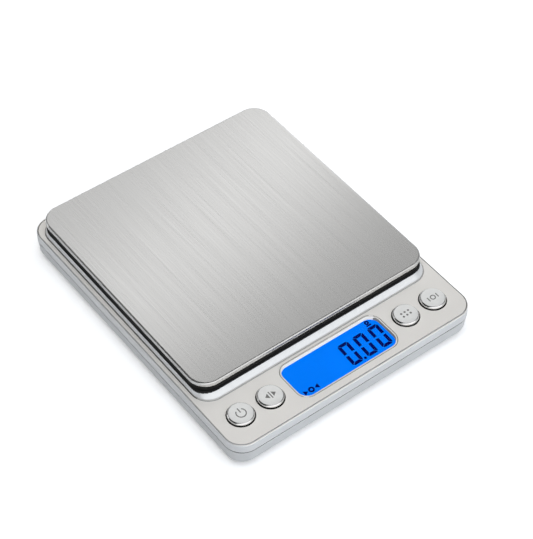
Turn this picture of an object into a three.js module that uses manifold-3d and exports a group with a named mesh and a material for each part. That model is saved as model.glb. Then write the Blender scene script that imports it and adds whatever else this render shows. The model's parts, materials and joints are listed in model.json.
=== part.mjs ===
// Pocket digital gram scale: a flat two-shell case with a control panel along its front,
// and a 100 mm stainless weighing plate carried on a bending-beam load cell.
//
// Millimetres, +Z up. The origin is on the floor under the middle of the case.
// The control panel faces -Y, and +X runs along the panel to the viewer's right.

import * as THREE from 'three';
import { mergeVertices } from 'three/addons/utils/BufferGeometryUtils.js';
import Module from 'manifold-3d';

const wasm = await Module();
wasm.setup();

// ---------------------------------------------------------------- driving dimensions

// Case outline, widest at the parting line between the two shells
const CASE_HALF_X = 52.5;
const CASE_HALF_Y = 63.5;
const CASE_CORNER = 7.2;
const CASE_WALL = 1.8;
const LIP_OUTER_INSET = 2.2;
const LIP_INNER_INSET = 3.0;
const TRAY_WALL_INSET = 2.05;

// Heights of the main surfaces above the floor
const BASE_Z = 1.0;
const FLOOR_TOP_Z = 2.5;
const PARTING_Z = 8.1;
const PANEL_Z = 12.1;
const PLATEAU_Z = 14.5;
const PLATE_TOP_Z = 19.0;

// Side profile of each shell, as [height, inset from the widest outline]
const TOP_PROFILE = [
  [PARTING_Z + 0.05, 0],
  [PARTING_Z + 0.6, 0],
  [PANEL_Z - 0.35, 0.3],
  [PANEL_Z, 0.6],
];
const TRAY_PROFILE = [
  [BASE_Z, 3.2],
  [BASE_Z + 0.3, 1.9],
  [BASE_Z + 1.0, 1.0],
  [BASE_Z + 2.2, 0.5],
  [PARTING_Z - 0.6, 0.2],
  [PARTING_Z - 0.05, 0.2],
];

// Air between pieces that touch or rest on each other
const SEAT_GAP = 0.1;
const CONTACT_GAP = 0.05;

// How far a cutting body runs past the face it opens
const OVERCUT = 0.5;

// Weighing plate, a folded stainless tray
const PLATE_Y = 10.45;
const PLATE_HALF = 50.0;
const PLATE_CORNER = 7.1;
const PLATE_SHEET = 0.6;
const PLATE_BEND = 0.75;
const PLATE_SKIRT_Z = 17.15;

// Plinth under the plate, measured from the plate's centre
const PLINTH_BASE = { xHalf: 50.35, front: -52.2, back: 50.4, corner: 7.0 };
const PLINTH_TOP = { xHalf: 49.6, front: -50.2, back: 49.6, corner: 6.6 };
const PLINTH_WALL = 1.4;

// Platform carrier and the load cell below it, measured from the plate's centre
const CARRIER_HALF = 49.2;
const CARRIER_CORNER = 6.3;
const CARRIER_RIM = 1;
const CARRIER_FLANGE = 0.55;
const CARRIER_RIM_Z = 15.2;
const CARRIER_BOTTOM_Z = 15.6;
const CARRIER_TOP_Z = 17.9;
const CELL_LENGTH = 46.0;
const CELL_WIDTH = 9.5;
const CELL_BOTTOM_Z = 5.2;
const CELL_TOP_Z = 11.2;
const CELL_BORE_X = 4.2;
const CELL_BORE_RADIUS = 2.4;
const CELL_SCREW_X = [14.3, 19.7];
const CELL_SCREW_HOLE = 1.7;
const CELL_SCREW_RECESS = 2.65;
const PEDESTAL = { left: -23.5, right: -10, yHalf: 6 };
const CARRIER_BOSS = { left: 10.5, right: 23.5, yHalf: 5.5 };
const BOSS_OPENING = { left: 8.5, right: 25.5, yHalf: 8 };
const OVERLOAD_STOP = 36;
const OVERLOAD_STOP_RADIUS = 2.5;
const OVERLOAD_GAP = 0.7;

// Push buttons and display window on the panel
const BUTTON_Y = -51.5;
const BUTTON_X = { power: -42.3, mode: -29.85, count: 29.85, tare: 42.3 };
const BUTTON_RADIUS = 4.75;
const BUTTON_HOLE_RADIUS = 5.0;
const BUTTON_FLANGE = 0.9;
const BUTTON_BOTTOM_Z = 9.5;
const WINDOW = { xHalf: 21.1, front: -59.1, back: -43.6, corner: 3.9, chamfer: 0.7 };
const LENS = { xHalf: 23.5, front: -60.8, back: -41.9, bottom: 9.9, top: 10.6 };
const LCD = { xHalf: 22.9, front: -60.5, back: -42.1, ledge: -44.0, bottom: 7.9, step: 8.9, top: 9.8 };
const LCD_HOLDER = { xHalf: 23.9, front: -61.2, back: -41.2, wall: 0.8, top: 9.7 };

// Circuit board
const PCB_BOTTOM_Z = 4.4;
const PCB_TOP_Z = 5.6;
const PCB_SCREW_X = 36.1;
const PCB_SCREW_Y = [-57.5, -45.5];
const PCB_STRIP = { xHalf: 47, front: -60.9, back: -41, corner: 4.5 };
const PCB_TAB = { xHalf: 22, back: -27 };
const COMPONENT_Z = PCB_TOP_Z + CONTACT_GAP;
const SOLDER_Y = -28.6;

// Battery well for two AAA cells lying along X
const WELL_Y = 44.0;
const WELL_HALF_X = 25.0;
const WELL_HALF_Y = 11.1;
const WELL_WALL = { xHalf: 27.6, front: 28.4, back: 57.8, top: 12.8 };
const CELL_AAA_RADIUS = 5.2;
const CELL_AAA_LENGTH = 44.5;
const CELL_AAA_NUB = 0.8;
const CELL_AAA_NUB_RADIUS = 1.9;
const CELL_AAA_PITCH = 10.7;
const CELL_AAA_Z = 7.6;
const DOOR = { xHalf: 26.6, front: 31.4, back: 56.4, top: 2.2 };
const DOOR_GAP = 0.3;
const DOOR_TAB_X = 15;
const DOOR_TAB_HALF = 3;
const CONTACT_Z = [4.0, 11.6];
const CONTACT_HALF = 4.2;
const CONTACT_SHEET = 0.4;

// Feet and case screws
const FOOT_X = 43.0;
const FOOT_Y = 54.0;
const FOOT_RADIUS = 5.0;
const CASE_SCREW_X = 45.3;
const CASE_SCREW_Y = [-36.0, 40.0];
const CASE_SCREW_RECESS = 2.6;
const CASE_BOSS_RADIUS = 3.2;
const CASE_BOSS_SPLIT_Z = 6.1;

// Facets in each rounded corner and around each small cylinder
const CORNER_STEPS = 4;
const ROUND_STEPS = 16;

// ---------------------------------------------------------------- solids

// Merge shared corners and drop the triangles that collapse to a line.
function weld(geometry) {
  const bare = geometry.index ? geometry.toNonIndexed() : geometry.clone();
  bare.deleteAttribute('normal');
  bare.deleteAttribute('uv');
  const merged = mergeVertices(bare, 1e-4);
  const corners = merged.index.array;
  const kept = [];
  for (let i = 0; i < corners.length; i += 3) {
    const [a, b, c] = [corners[i], corners[i + 1], corners[i + 2]];
    if (a !== b && b !== c && c !== a) {
      kept.push(a, b, c);
    }
  }
  return { points: merged.attributes.position.array, triangles: kept };
}

function solidOf(geometry) {
  const { points, triangles } = weld(geometry);
  const mesh = new wasm.Mesh({
    numProp: 3,
    vertProperties: new Float32Array(points),
    triVerts: new Uint32Array(triangles),
  });
  return new wasm.Manifold(mesh);
}

function geometryOf(solid) {
  const mesh = solid.getMesh();
  const geometry = new THREE.BufferGeometry();
  geometry.setAttribute('position', new THREE.BufferAttribute(mesh.vertProperties, 3));
  geometry.setIndex(new THREE.BufferAttribute(mesh.triVerts, 1));
  geometry.computeVertexNormals();
  return geometry;
}

function join(first, ...others) {
  return others.reduce((whole, other) => whole.add(other), first);
}

function cut(first, ...others) {
  return others.reduce((rest, other) => rest.subtract(other), first);
}

// ---------------------------------------------------------------- outlines and shapes

// Corner points of a rounded rectangle, anticlockwise from the right-hand side.
function roundedOutline(xMin, xMax, yMin, yMax, radius, steps = CORNER_STEPS) {
  const centres = [
    [xMax - radius, yMax - radius],
    [xMin + radius, yMax - radius],
    [xMin + radius, yMin + radius],
    [xMax - radius, yMin + radius],
  ];
  const points = [];
  centres.forEach(([x, y], quarter) => {
    for (let i = 0; i <= steps; i += 1) {
      const angle = (quarter + i / steps) * Math.PI / 2;
      points.push(new THREE.Vector2(x + radius * Math.cos(angle), y + radius * Math.sin(angle)));
    }
  });
  return points;
}

function caseOutline(inset) {
  const x = CASE_HALF_X - inset;
  const y = CASE_HALF_Y - inset;
  return roundedOutline(-x, x, -y, y, Math.max(CASE_CORNER - inset, 1.5));
}

function plinthOutline(size, inset = 0) {
  return roundedOutline(
    -size.xHalf + inset, size.xHalf - inset,
    PLATE_Y + size.front + inset, PLATE_Y + size.back - inset,
    size.corner - inset,
  );
}

// A straight prism standing on an outline.
function prism(outline, bottom, top) {
  const geometry = new THREE.ExtrudeGeometry(new THREE.Shape(outline), {
    depth: top - bottom,
    bevelEnabled: false,
  });
  return solidOf(geometry.translate(0, 0, bottom));
}

// A body whose outline changes with height: rings of [z, outline] with equal point counts.
function loft(rings) {
  const count = rings[0][1].length;
  const points = [];
  const faces = [];
  rings.forEach(([z, outline]) => outline.forEach((p) => points.push(p.x, p.y, z)));
  for (let ring = 0; ring + 1 < rings.length; ring += 1) {
    for (let i = 0; i < count; i += 1) {
      const next = (i + 1) % count;
      const low = ring * count;
      const high = low + count;
      faces.push(low + i, low + next, high + next);
      faces.push(low + i, high + next, high + i);
    }
  }
  const last = (rings.length - 1) * count;
  THREE.ShapeUtils.triangulateShape(rings[0][1], []).forEach(([a, b, c]) => {
    faces.push(a, c, b);
    faces.push(last + a, last + b, last + c);
  });
  const geometry = new THREE.BufferGeometry();
  geometry.setAttribute('position', new THREE.Float32BufferAttribute(points, 3));
  geometry.setIndex(faces);
  return solidOf(geometry);
}

function block(xMin, xMax, yMin, yMax, zMin, zMax) {
  const box = new THREE.BoxGeometry(xMax - xMin, yMax - yMin, zMax - zMin);
  return solidOf(box.translate((xMin + xMax) / 2, (yMin + yMax) / 2, (zMin + zMax) / 2));
}

// An upright cylinder.
function rod(x, y, radius, bottom, top, steps = ROUND_STEPS) {
  const cylinder = new THREE.CylinderGeometry(radius, radius, top - bottom, steps);
  cylinder.rotateX(Math.PI / 2);
  return solidOf(cylinder.translate(x, y, (bottom + top) / 2));
}

// A body turned about Z from a profile of [radius, z] pairs that starts and ends on the axis.
function turned(profile, steps = ROUND_STEPS) {
  const lathe = new THREE.LatheGeometry(profile.map(([r, z]) => new THREE.Vector2(r, z)), steps);
  return solidOf(lathe.rotateX(Math.PI / 2));
}

// A round wire that follows a curve.
function wire(curve, radius, steps, sides = 6) {
  const section = new THREE.Shape(
    Array.from({ length: sides }, (_, i) => {
      const angle = (i / sides) * 2 * Math.PI;
      return new THREE.Vector2(radius * Math.cos(angle), radius * Math.sin(angle));
    }),
  );
  return solidOf(new THREE.ExtrudeGeometry(section, { steps, extrudePath: curve, bevelEnabled: false }));
}

// ---------------------------------------------------------------- housing

function caseScrewPositions() {
  return CASE_SCREW_Y.flatMap((y) => [[-CASE_SCREW_X, y], [CASE_SCREW_X, y]]);
}

function pcbScrewPositions() {
  return PCB_SCREW_Y.flatMap((y) => [[-PCB_SCREW_X, y], [PCB_SCREW_X, y]]);
}

// The upper shell: panel, plinth, display window, button holes, screw bosses and overload stops.
function topCase() {
  const under = PANEL_Z - CASE_WALL;
  const rim = loft(TOP_PROFILE.map(([z, inset]) => [z, caseOutline(inset)]));
  const plinth = loft([
    [PANEL_Z - 0.5, plinthOutline(PLINTH_BASE, -0.2)],
    [PANEL_Z, plinthOutline(PLINTH_BASE)],
    [PANEL_Z + 0.5, plinthOutline(PLINTH_BASE, 0.4)],
    [PLATEAU_Z - 0.4, plinthOutline(PLINTH_TOP, -0.1)],
    [PLATEAU_Z, plinthOutline(PLINTH_TOP, 0.3)],
  ]);
  const lip = cut(
    prism(caseOutline(LIP_OUTER_INSET), PARTING_Z - 1.2, under + 0.2),
    prism(caseOutline(LIP_INNER_INSET), PARTING_Z - 1.4, under + 0.4),
    block(-27, 27, -CASE_HALF_Y, -50, PARTING_Z - 1.4, under),
  );
  const cavity = join(
    prism(caseOutline(CASE_WALL), PARTING_Z - 0.1, under),
    prism(plinthOutline(PLINTH_TOP, PLINTH_WALL), under - 0.1, PLATEAU_Z - PLINTH_WALL),
  );
  let shell = join(cut(join(rim, plinth), cavity), lip);

  for (const [x, y] of caseScrewPositions()) {
    const bossTop = PLATEAU_Z - PLINTH_WALL + 0.1;
    const boss = rod(x, y, CASE_BOSS_RADIUS, CASE_BOSS_SPLIT_Z + SEAT_GAP, bossTop);
    shell = cut(shell.add(boss), rod(x, y, 1.3, 6.0, 12.4, 12));
  }
  for (const [x, y] of pcbScrewPositions()) {
    const boss = rod(x, y, 2.2, PCB_TOP_Z + SEAT_GAP, under + 0.1, 14);
    shell = cut(shell.add(boss), rod(x, y, 1.0, PCB_TOP_Z, under - 0.6, 12));
  }
  for (const x of Object.values(BUTTON_X)) {
    shell = cut(shell, rod(x, BUTTON_Y, BUTTON_HOLE_RADIUS, under - OVERCUT, PANEL_Z + OVERCUT, 28));
  }

  const windowOutline = (grow) => roundedOutline(
    -WINDOW.xHalf - grow, WINDOW.xHalf + grow,
    WINDOW.front - grow, WINDOW.back + grow,
    WINDOW.corner + grow,
  );
  const windowCut = loft([
    [under - OVERCUT, windowOutline(0)],
    [PANEL_Z - 0.5, windowOutline(0)],
    [PANEL_Z, windowOutline(WINDOW.chamfer)],
    [PANEL_Z + OVERCUT, windowOutline(WINDOW.chamfer)],
  ]);
  const lensSeat = block(
    -LENS.xHalf - 0.3, LENS.xHalf + 0.3, LENS.front - 0.3, LENS.back + 0.3,
    under - OVERCUT, under + 0.4,
  );
  const bossOpening = roundedOutline(
    BOSS_OPENING.left, BOSS_OPENING.right,
    PLATE_Y - BOSS_OPENING.yHalf, PLATE_Y + BOSS_OPENING.yHalf, 2, 3,
  );
  shell = cut(shell, windowCut, lensSeat, prism(bossOpening, 12, PLATEAU_Z + OVERCUT));
  const stopTop = CARRIER_BOTTOM_Z - OVERLOAD_GAP;
  for (const x of [-OVERLOAD_STOP, OVERLOAD_STOP]) {
    for (const y of [-OVERLOAD_STOP, OVERLOAD_STOP]) {
      shell = shell.add(rod(x, PLATE_Y + y, OVERLOAD_STOP_RADIUS, PLATEAU_Z - 0.5, stopTop, 14));
    }
  }
  return shell;
}

// The lower shell: tray, load-cell pedestal, battery well, screw posts and foot recesses.
function bottomCase() {
  const tray = loft(TRAY_PROFILE.map(([z, inset]) => [z, caseOutline(inset)]));
  const cavity = prism(caseOutline(TRAY_WALL_INSET), FLOOR_TOP_Z, PARTING_Z + 1);
  const pedestal = block(
    PEDESTAL.left, PEDESTAL.right, PLATE_Y - PEDESTAL.yHalf, PLATE_Y + PEDESTAL.yHalf,
    FLOOR_TOP_Z - 0.1, CELL_BOTTOM_Z - SEAT_GAP,
  );
  const wellWall = block(
    -WELL_WALL.xHalf, WELL_WALL.xHalf, WELL_WALL.front, WELL_WALL.back,
    FLOOR_TOP_Z - 0.1, WELL_WALL.top,
  );
  let shell = join(cut(tray, cavity), pedestal, wellWall);

  const well = block(
    -WELL_HALF_X, WELL_HALF_X, WELL_Y - WELL_HALF_Y, WELL_Y + WELL_HALF_Y, 0, 14,
  );
  const rebate = block(
    -DOOR.xHalf - DOOR_GAP, DOOR.xHalf + DOOR_GAP,
    DOOR.front - CONTACT_GAP, DOOR.back + DOOR_GAP,
    0, DOOR.top + 0.15,
  );
  const thumbNotch = rod(0, DOOR.back + 2.0, 6.0, 0, BASE_Z + 0.9, 24);
  const wireNotches = [-1, 1].map((side) => {
    const y = WELL_Y + side * CELL_AAA_PITCH / 2;
    return block(-28, -24, y - 1.2, y + 1.2, 9.6, 14);
  });
  shell = cut(shell, well, rebate, thumbNotch, ...wireNotches);
  for (const x of [-DOOR_TAB_X, DOOR_TAB_X]) {
    const half = DOOR_TAB_HALF + 0.4;
    shell = shell.subtract(block(
      x - half, x + half, DOOR.front - 1.5, DOOR.front + 2, BASE_Z + 0.4, BASE_Z + 2.1,
    ));
  }

  for (const x of CELL_SCREW_X) {
    shell = cut(
      shell,
      rod(-x, PLATE_Y, CELL_SCREW_HOLE, 0, CELL_BOTTOM_Z, 14),
      rod(-x, PLATE_Y, CELL_SCREW_RECESS, 0, BASE_Z + 2.1),
    );
  }
  for (const [x, y] of caseScrewPositions()) {
    shell = cut(
      shell.add(rod(x, y, CASE_BOSS_RADIUS, FLOOR_TOP_Z - 0.1, CASE_BOSS_SPLIT_Z - SEAT_GAP)),
      rod(x, y, 1.4, 0, CASE_BOSS_SPLIT_Z + OVERCUT, 14),
      rod(x, y, CASE_SCREW_RECESS, 0, BASE_Z + 2.4),
    );
  }
  for (const x of [-FOOT_X, FOOT_X]) {
    for (const y of [-FOOT_Y, FOOT_Y]) {
      shell = shell.subtract(rod(x, y, FOOT_RADIUS + 0.2, 0, BASE_Z + 0.7, 24));
    }
  }
  return shell;
}

// The battery door: a flush lid with two hinge tabs in front and a snap tongue at the back.
function batteryDoor() {
  const lid = prism(
    roundedOutline(-DOOR.xHalf, DOOR.xHalf, DOOR.front, DOOR.back, 0.8, 2),
    BASE_Z + CONTACT_GAP, DOOR.top,
  );
  const tabs = [-DOOR_TAB_X, DOOR_TAB_X].map((x) => block(
    x - DOOR_TAB_HALF, x + DOOR_TAB_HALF,
    DOOR.front - 1.2, DOOR.front + 0.5, BASE_Z + 0.5, DOOR.top,
  ));
  const tongueSlots = [-5, 5].map((x) => (
    block(x - 0.5, x + 0.5, DOOR.back - 6, DOOR.back + 1, BASE_Z, DOOR.top + 0.1)
  ));
  const gripRidges = [0, 1, 2, 3].map((i) => (
    block(-3.5, 3.5, DOOR.back - 5.2 + i * 1.2, DOOR.back - 4.6 + i * 1.2, 0, BASE_Z + 0.35)
  ));
  return cut(join(lid, ...tabs), ...tongueSlots, ...gripRidges);
}

// A rubber foot with a rounded lower edge.
function foot() {
  return turned([
    [0, 0],
    [FOOT_RADIUS - 0.5, 0],
    [FOOT_RADIUS - 0.1, 0.3],
    [FOOT_RADIUS, 0.8],
    [FOOT_RADIUS, 1.6],
    [0, 1.6],
  ], 20);
}

// A pan-head screw, head down, with its shank pointing up from z = 0.
function screw(headRadius, headHeight, shankRadius, length, steps = 12) {
  return turned([
    [0, -headHeight],
    [headRadius * 0.7, -headHeight],
    [headRadius, -headHeight * 0.5],
    [headRadius, 0],
    [shankRadius, 0],
    [shankRadius, length - shankRadius],
    [0, length],
  ], steps);
}

// ---------------------------------------------------------------- platform

// The stainless tray: a flat top with a folded skirt all round.
function weighingPlate() {
  const outline = (inset) => roundedOutline(
    -PLATE_HALF + inset, PLATE_HALF - inset,
    -PLATE_HALF + inset, PLATE_HALF - inset,
    PLATE_CORNER - inset, 7,
  );
  const bend = [90, 60, 30, 0].map((degrees) => {
    const angle = degrees * Math.PI / 180;
    const inset = PLATE_BEND * (1 - Math.sin(angle));
    return [PLATE_TOP_Z - PLATE_BEND + PLATE_BEND * Math.cos(angle), outline(inset)];
  });
  const blank = loft([[PLATE_SKIRT_Z, outline(0)], ...bend]);
  const inside = prism(outline(PLATE_SHEET), PLATE_SKIRT_Z - 1, PLATE_TOP_Z - PLATE_SHEET);
  return cut(blank, inside);
}

function plateTape() {
  return block(-6, 6, -40, 40, CARRIER_TOP_Z + CONTACT_GAP, PLATE_TOP_Z - PLATE_SHEET - CONTACT_GAP);
}

// The moulded carrier: a ribbed slab whose flange shows as a black band under the plate's skirt,
// with one boss that reaches down to the load cell.
function platformCarrier() {
  const outline = (inset) => {
    const half = CARRIER_HALF - inset;
    return roundedOutline(-half, half, -half, half, CARRIER_CORNER - inset);
  };
  const rib = 1.2;
  const bay = (2 * (CARRIER_HALF - CARRIER_RIM) - 3 * rib) / 4;
  const flange = prism(outline(-CARRIER_FLANGE), CARRIER_RIM_Z, PLATE_SKIRT_Z - CONTACT_GAP);
  let carrier = cut(
    prism(outline(0), CARRIER_RIM_Z, CARRIER_TOP_Z).add(flange),
    prism(outline(CARRIER_RIM), CARRIER_RIM_Z - 1, CARRIER_BOTTOM_Z),
  );
  for (let column = 0; column < 4; column += 1) {
    for (let row = 0; row < 4; row += 1) {
      const x = -CARRIER_HALF + CARRIER_RIM + column * (bay + rib);
      const y = -CARRIER_HALF + CARRIER_RIM + row * (bay + rib);
      const overStop = (column === 0 || column === 3) && (row === 0 || row === 3);
      const underBoss = column === 2 && (row === 1 || row === 2);
      if (!overStop && !underBoss) {
        carrier = carrier.subtract(block(x, x + bay, y, y + bay, 0, CARRIER_BOTTOM_Z + 1.1));
      }
    }
  }
  const bossBottom = CELL_TOP_Z + SEAT_GAP;
  carrier = carrier.add(block(
    CARRIER_BOSS.left, CARRIER_BOSS.right, -CARRIER_BOSS.yHalf, CARRIER_BOSS.yHalf,
    bossBottom, CARRIER_BOTTOM_Z + 1,
  ));
  for (const x of CELL_SCREW_X) {
    carrier = cut(
      carrier,
      rod(x, 0, CELL_SCREW_HOLE, bossBottom - 1, CARRIER_TOP_Z + 1, 14),
      rod(x, 0, 2.62, CARRIER_BOTTOM_Z + 0.3, CARRIER_TOP_Z + 1),
    );
  }
  return carrier;
}

// The aluminium bending beam with its double-bore flexure and two screw holes at each end.
function loadCell() {
  const half = CELL_LENGTH / 2;
  const middleZ = (CELL_BOTTOM_Z + CELL_TOP_Z) / 2;
  const acrossBore = (x, radius) => {
    const bore = new THREE.CylinderGeometry(radius, radius, CELL_WIDTH + 2, 18);
    return solidOf(bore.translate(x, 0, middleZ));
  };
  let beam = block(-half, half, -CELL_WIDTH / 2, CELL_WIDTH / 2, CELL_BOTTOM_Z, CELL_TOP_Z);
  beam = cut(
    beam,
    acrossBore(-CELL_BORE_X, CELL_BORE_RADIUS),
    acrossBore(CELL_BORE_X, CELL_BORE_RADIUS),
    block(-CELL_BORE_X, CELL_BORE_X, -CELL_WIDTH, CELL_WIDTH, middleZ - 1.0, middleZ + 1.0),
  );
  for (const x of CELL_SCREW_X) {
    const holes = [-x, x].map((side) => rod(side, 0, 1.6, 0, PLATE_TOP_Z, 14));
    beam = cut(beam, ...holes);
  }
  return beam;
}

// Soft sealant over the strain gauges.
function gaugeCoating(zMin, zMax) {
  const outline = (inset) => roundedOutline(-7 + inset, 7 - inset, -4 + inset, 4 - inset, 2 - inset, 3);
  return loft([[zMin, outline(0)], [(zMin + zMax) / 2, outline(0)], [zMax, outline(0.4)]]);
}

// ---------------------------------------------------------------- control panel

// A push button: retaining flange, straight side, bevelled rim and a shallow crown.
function pushButton() {
  return turned([
    [0, BUTTON_BOTTOM_Z],
    [BUTTON_RADIUS + BUTTON_FLANGE, BUTTON_BOTTOM_Z],
    [BUTTON_RADIUS + BUTTON_FLANGE, 10.1],
    [BUTTON_RADIUS, 10.2],
    [BUTTON_RADIUS, 12.7],
    [BUTTON_RADIUS - 0.25, 13.05],
    [BUTTON_RADIUS - 0.6, 13.25],
    [BUTTON_RADIUS / 2, 13.4],
    [0, 13.45],
  ], 24);
}

function switchBody() {
  const top = 9.0;
  const body = block(-3, 3, -3, 3, COMPONENT_Z, top);
  return cut(body, rod(0, 0, 1.9, top - 1.6, top + 1, 14));
}

function switchPlunger() {
  return turned([[0, 7.95], [1.7, 7.95], [1.7, 9.3], [1.5, 9.4], [0, 9.4]], 14);
}

function displayWindow() {
  const outline = roundedOutline(-LENS.xHalf, LENS.xHalf, LENS.front, LENS.back, 0.8, 2);
  return prism(outline, LENS.bottom, LENS.top);
}

// The display cell: two laminated glasses, the upper one with a contact ledge at the back.
function lcdGlass() {
  return join(
    block(-LCD.xHalf, LCD.xHalf, LCD.front, LCD.back, LCD.step, LCD.top),
    block(-LCD.xHalf, LCD.xHalf, LCD.front, LCD.ledge, LCD.bottom, LCD.step + 0.1),
  );
}

function lcdHolder() {
  const { xHalf, front, back, wall, top } = LCD_HOLDER;
  return cut(
    block(-xHalf, xHalf, front, back, COMPONENT_Z, top),
    block(-xHalf + wall, xHalf - wall, front + 0.5, back - 0.6, PCB_BOTTOM_Z, top + OVERCUT),
  );
}

function lcdBacklight() {
  return block(
    -LCD.xHalf + 0.3, LCD.xHalf - 0.3, LCD.front + 0.2, LCD.ledge - 0.3,
    PCB_TOP_Z + SEAT_GAP, LCD.bottom - SEAT_GAP,
  );
}

function zebraStrip() {
  return block(-20, 20, LCD.back - 1.5, LCD.back - 0.3, COMPONENT_Z, LCD.step - SEAT_GAP);
}

// The circuit board: a strip behind the panel with a tab reaching back under the plinth.
function mainPcb() {
  const { xHalf, front, back, corner } = PCB_STRIP;
  const strip = prism(roundedOutline(-xHalf, xHalf, front, back, corner, 3), PCB_BOTTOM_Z, PCB_TOP_Z);
  const tab = block(-PCB_TAB.xHalf, PCB_TAB.xHalf, back - 1, PCB_TAB.back, PCB_BOTTOM_Z, PCB_TOP_Z);
  let board = strip.add(tab);
  for (const [x, y] of pcbScrewPositions()) {
    board = board.subtract(rod(x, y, 1.2, 0, 10, 12));
  }
  return board;
}

function chipBlob() {
  return turned([
    [0, COMPONENT_Z],
    [4.6, COMPONENT_Z],
    [4.2, COMPONENT_Z + 0.7],
    [2.6, COMPONENT_Z + 1.2],
    [0, COMPONENT_Z + 1.4],
  ], 18);
}

function crystal() {
  return prism(roundedOutline(-4.5, 4.5, -1.7, 1.7, 1.6, 3), COMPONENT_Z, COMPONENT_Z + 3.4);
}

function capacitor() {
  return turned([
    [0, COMPONENT_Z],
    [2, COMPONENT_Z],
    [2, COMPONENT_Z + 4.8],
    [1.7, COMPONENT_Z + 5],
    [0, COMPONENT_Z + 5],
  ], 16);
}

// ---------------------------------------------------------------- battery and wiring

// One AAA cell along +X: a plain can with the positive nub at its far end.
function aaaCell() {
  const can = CELL_AAA_LENGTH - CELL_AAA_NUB;
  const cell = turned([
    [0, 0],
    [CELL_AAA_RADIUS - 0.4, 0],
    [CELL_AAA_RADIUS, 0.4],
    [CELL_AAA_RADIUS, can - 0.4],
    [CELL_AAA_RADIUS - 0.4, can],
    [CELL_AAA_NUB_RADIUS, can],
    [CELL_AAA_NUB_RADIUS, CELL_AAA_LENGTH],
    [0, CELL_AAA_LENGTH],
  ], 20);
  return cell.rotate([0, 90, 0]);
}

class ConicalHelix extends THREE.Curve {
  constructor(length, startRadius, endRadius, turns) {
    super();
    Object.assign(this, { length, startRadius, endRadius, turns });
  }

  getPoint(t, target = new THREE.Vector3()) {
    const angle = t * this.turns * 2 * Math.PI;
    const radius = this.startRadius + (this.endRadius - this.startRadius) * t;
    return target.set(t * this.length, radius * Math.cos(angle), radius * Math.sin(angle));
  }
}

// A cone of wire that presses on the flat end of a cell, along +X.
function batterySpring() {
  return wire(new ConicalHelix(3.5, 3.6, 2.3, 3), 0.3, 30, 5);
}

// A sheet contact that covers a cell's end, and further along Y where it joins two cells.
function contactSheet(reach) {
  return block(-CONTACT_SHEET / 2, CONTACT_SHEET / 2, -reach, reach, ...CONTACT_Z);
}

function contactTab() {
  return contactSheet(CONTACT_HALF);
}

function contactBridge() {
  return contactSheet(CELL_AAA_PITCH / 2 + CONTACT_HALF);
}

// One of four sensor wires, from the side of the load cell to the board's rear tab.
function sensorWire(index) {
  const x = -9.0 + 2.4 * index;
  const side = PLATE_Y - CELL_WIDTH / 2 - 0.6;
  return wire(new THREE.CatmullRomCurve3([
    new THREE.Vector3(x + 5, side, 9.0),
    new THREE.Vector3(x + 4, side - 4, 7.5),
    new THREE.Vector3(x, side - 16, 4.0),
    new THREE.Vector3(x, -22, 4.6),
    new THREE.Vector3(x, -26, 6.2),
    new THREE.Vector3(x, SOLDER_Y, 6.2),
  ]), 0.45, 16);
}

// A battery lead, from a contact over the well wall and forward to the board's rear tab.
function batteryWire(contactY, lane, boardX) {
  return wire(new THREE.CatmullRomCurve3([
    new THREE.Vector3(-25.6, contactY, 10.4),
    new THREE.Vector3(-29.0, contactY, 10.3),
    new THREE.Vector3(lane, contactY - 6, 6.5),
    new THREE.Vector3(lane, 20, 4.0),
    new THREE.Vector3(lane, -10, 4.0),
    new THREE.Vector3(boardX - 3, -22, 5.0),
    new THREE.Vector3(boardX, -26, 6.2),
    new THREE.Vector3(boardX, SOLDER_Y, 6.2),
  ]), 0.5, 24);
}

// ---------------------------------------------------------------- assembly

const FINISH = {
  steel: { color: 0xc4c4c3, roughness: 0.32, metalness: 1.0 },
  screwSteel: { color: 0xb8babc, roughness: 0.35, metalness: 1.0 },
  aluminium: { color: 0xc9cbcd, roughness: 0.4, metalness: 1.0 },
  silverPaint: { color: 0xd3d3d1, roughness: 0.42, metalness: 0.35 },
  buttonChrome: { color: 0xd9dadb, roughness: 0.25, metalness: 0.7 },
  blackPlastic: { color: 0x1b1b1c, roughness: 0.6, metalness: 0.0 },
  whitePlastic: { color: 0xe8e8e4, roughness: 0.5, metalness: 0.0 },
  clearPlastic: { color: 0xeef4fa, roughness: 0.05, metalness: 0.0 },
  displayBlue: { color: 0x0a7cff, roughness: 0.2, metalness: 0.0 },
  rubber: { color: 0x3a3a3b, roughness: 0.9, metalness: 0.0 },
  board: { color: 0x1f5c36, roughness: 0.5, metalness: 0.0 },
  epoxy: { color: 0x121212, roughness: 0.35, metalness: 0.0 },
  sealant: { color: 0xf1f0ea, roughness: 0.6, metalness: 0.0 },
  tape: { color: 0xdedcd3, roughness: 0.8, metalness: 0.0 },
  nickel: { color: 0xc8c3b6, roughness: 0.3, metalness: 1.0 },
  cellWrap: { color: 0x3c4148, roughness: 0.35, metalness: 0.2 },
  wireRed: { color: 0xb3201c, roughness: 0.5, metalness: 0.0 },
  wireBlack: { color: 0x161616, roughness: 0.5, metalness: 0.0 },
  wireWhite: { color: 0xe9e9e6, roughness: 0.5, metalness: 0.0 },
  wireGreen: { color: 0x1f7a3a, roughness: 0.5, metalness: 0.0 },
};

// Add one named piece to a group, at a place in that group.
function place(group, name, solid, finish, position = [0, 0, 0]) {
  const material = new THREE.MeshStandardMaterial(FINISH[finish]);
  const mesh = new THREE.Mesh(geometryOf(solid), material);
  mesh.name = name;
  mesh.position.set(...position);
  group.add(mesh);
  return mesh;
}

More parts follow.
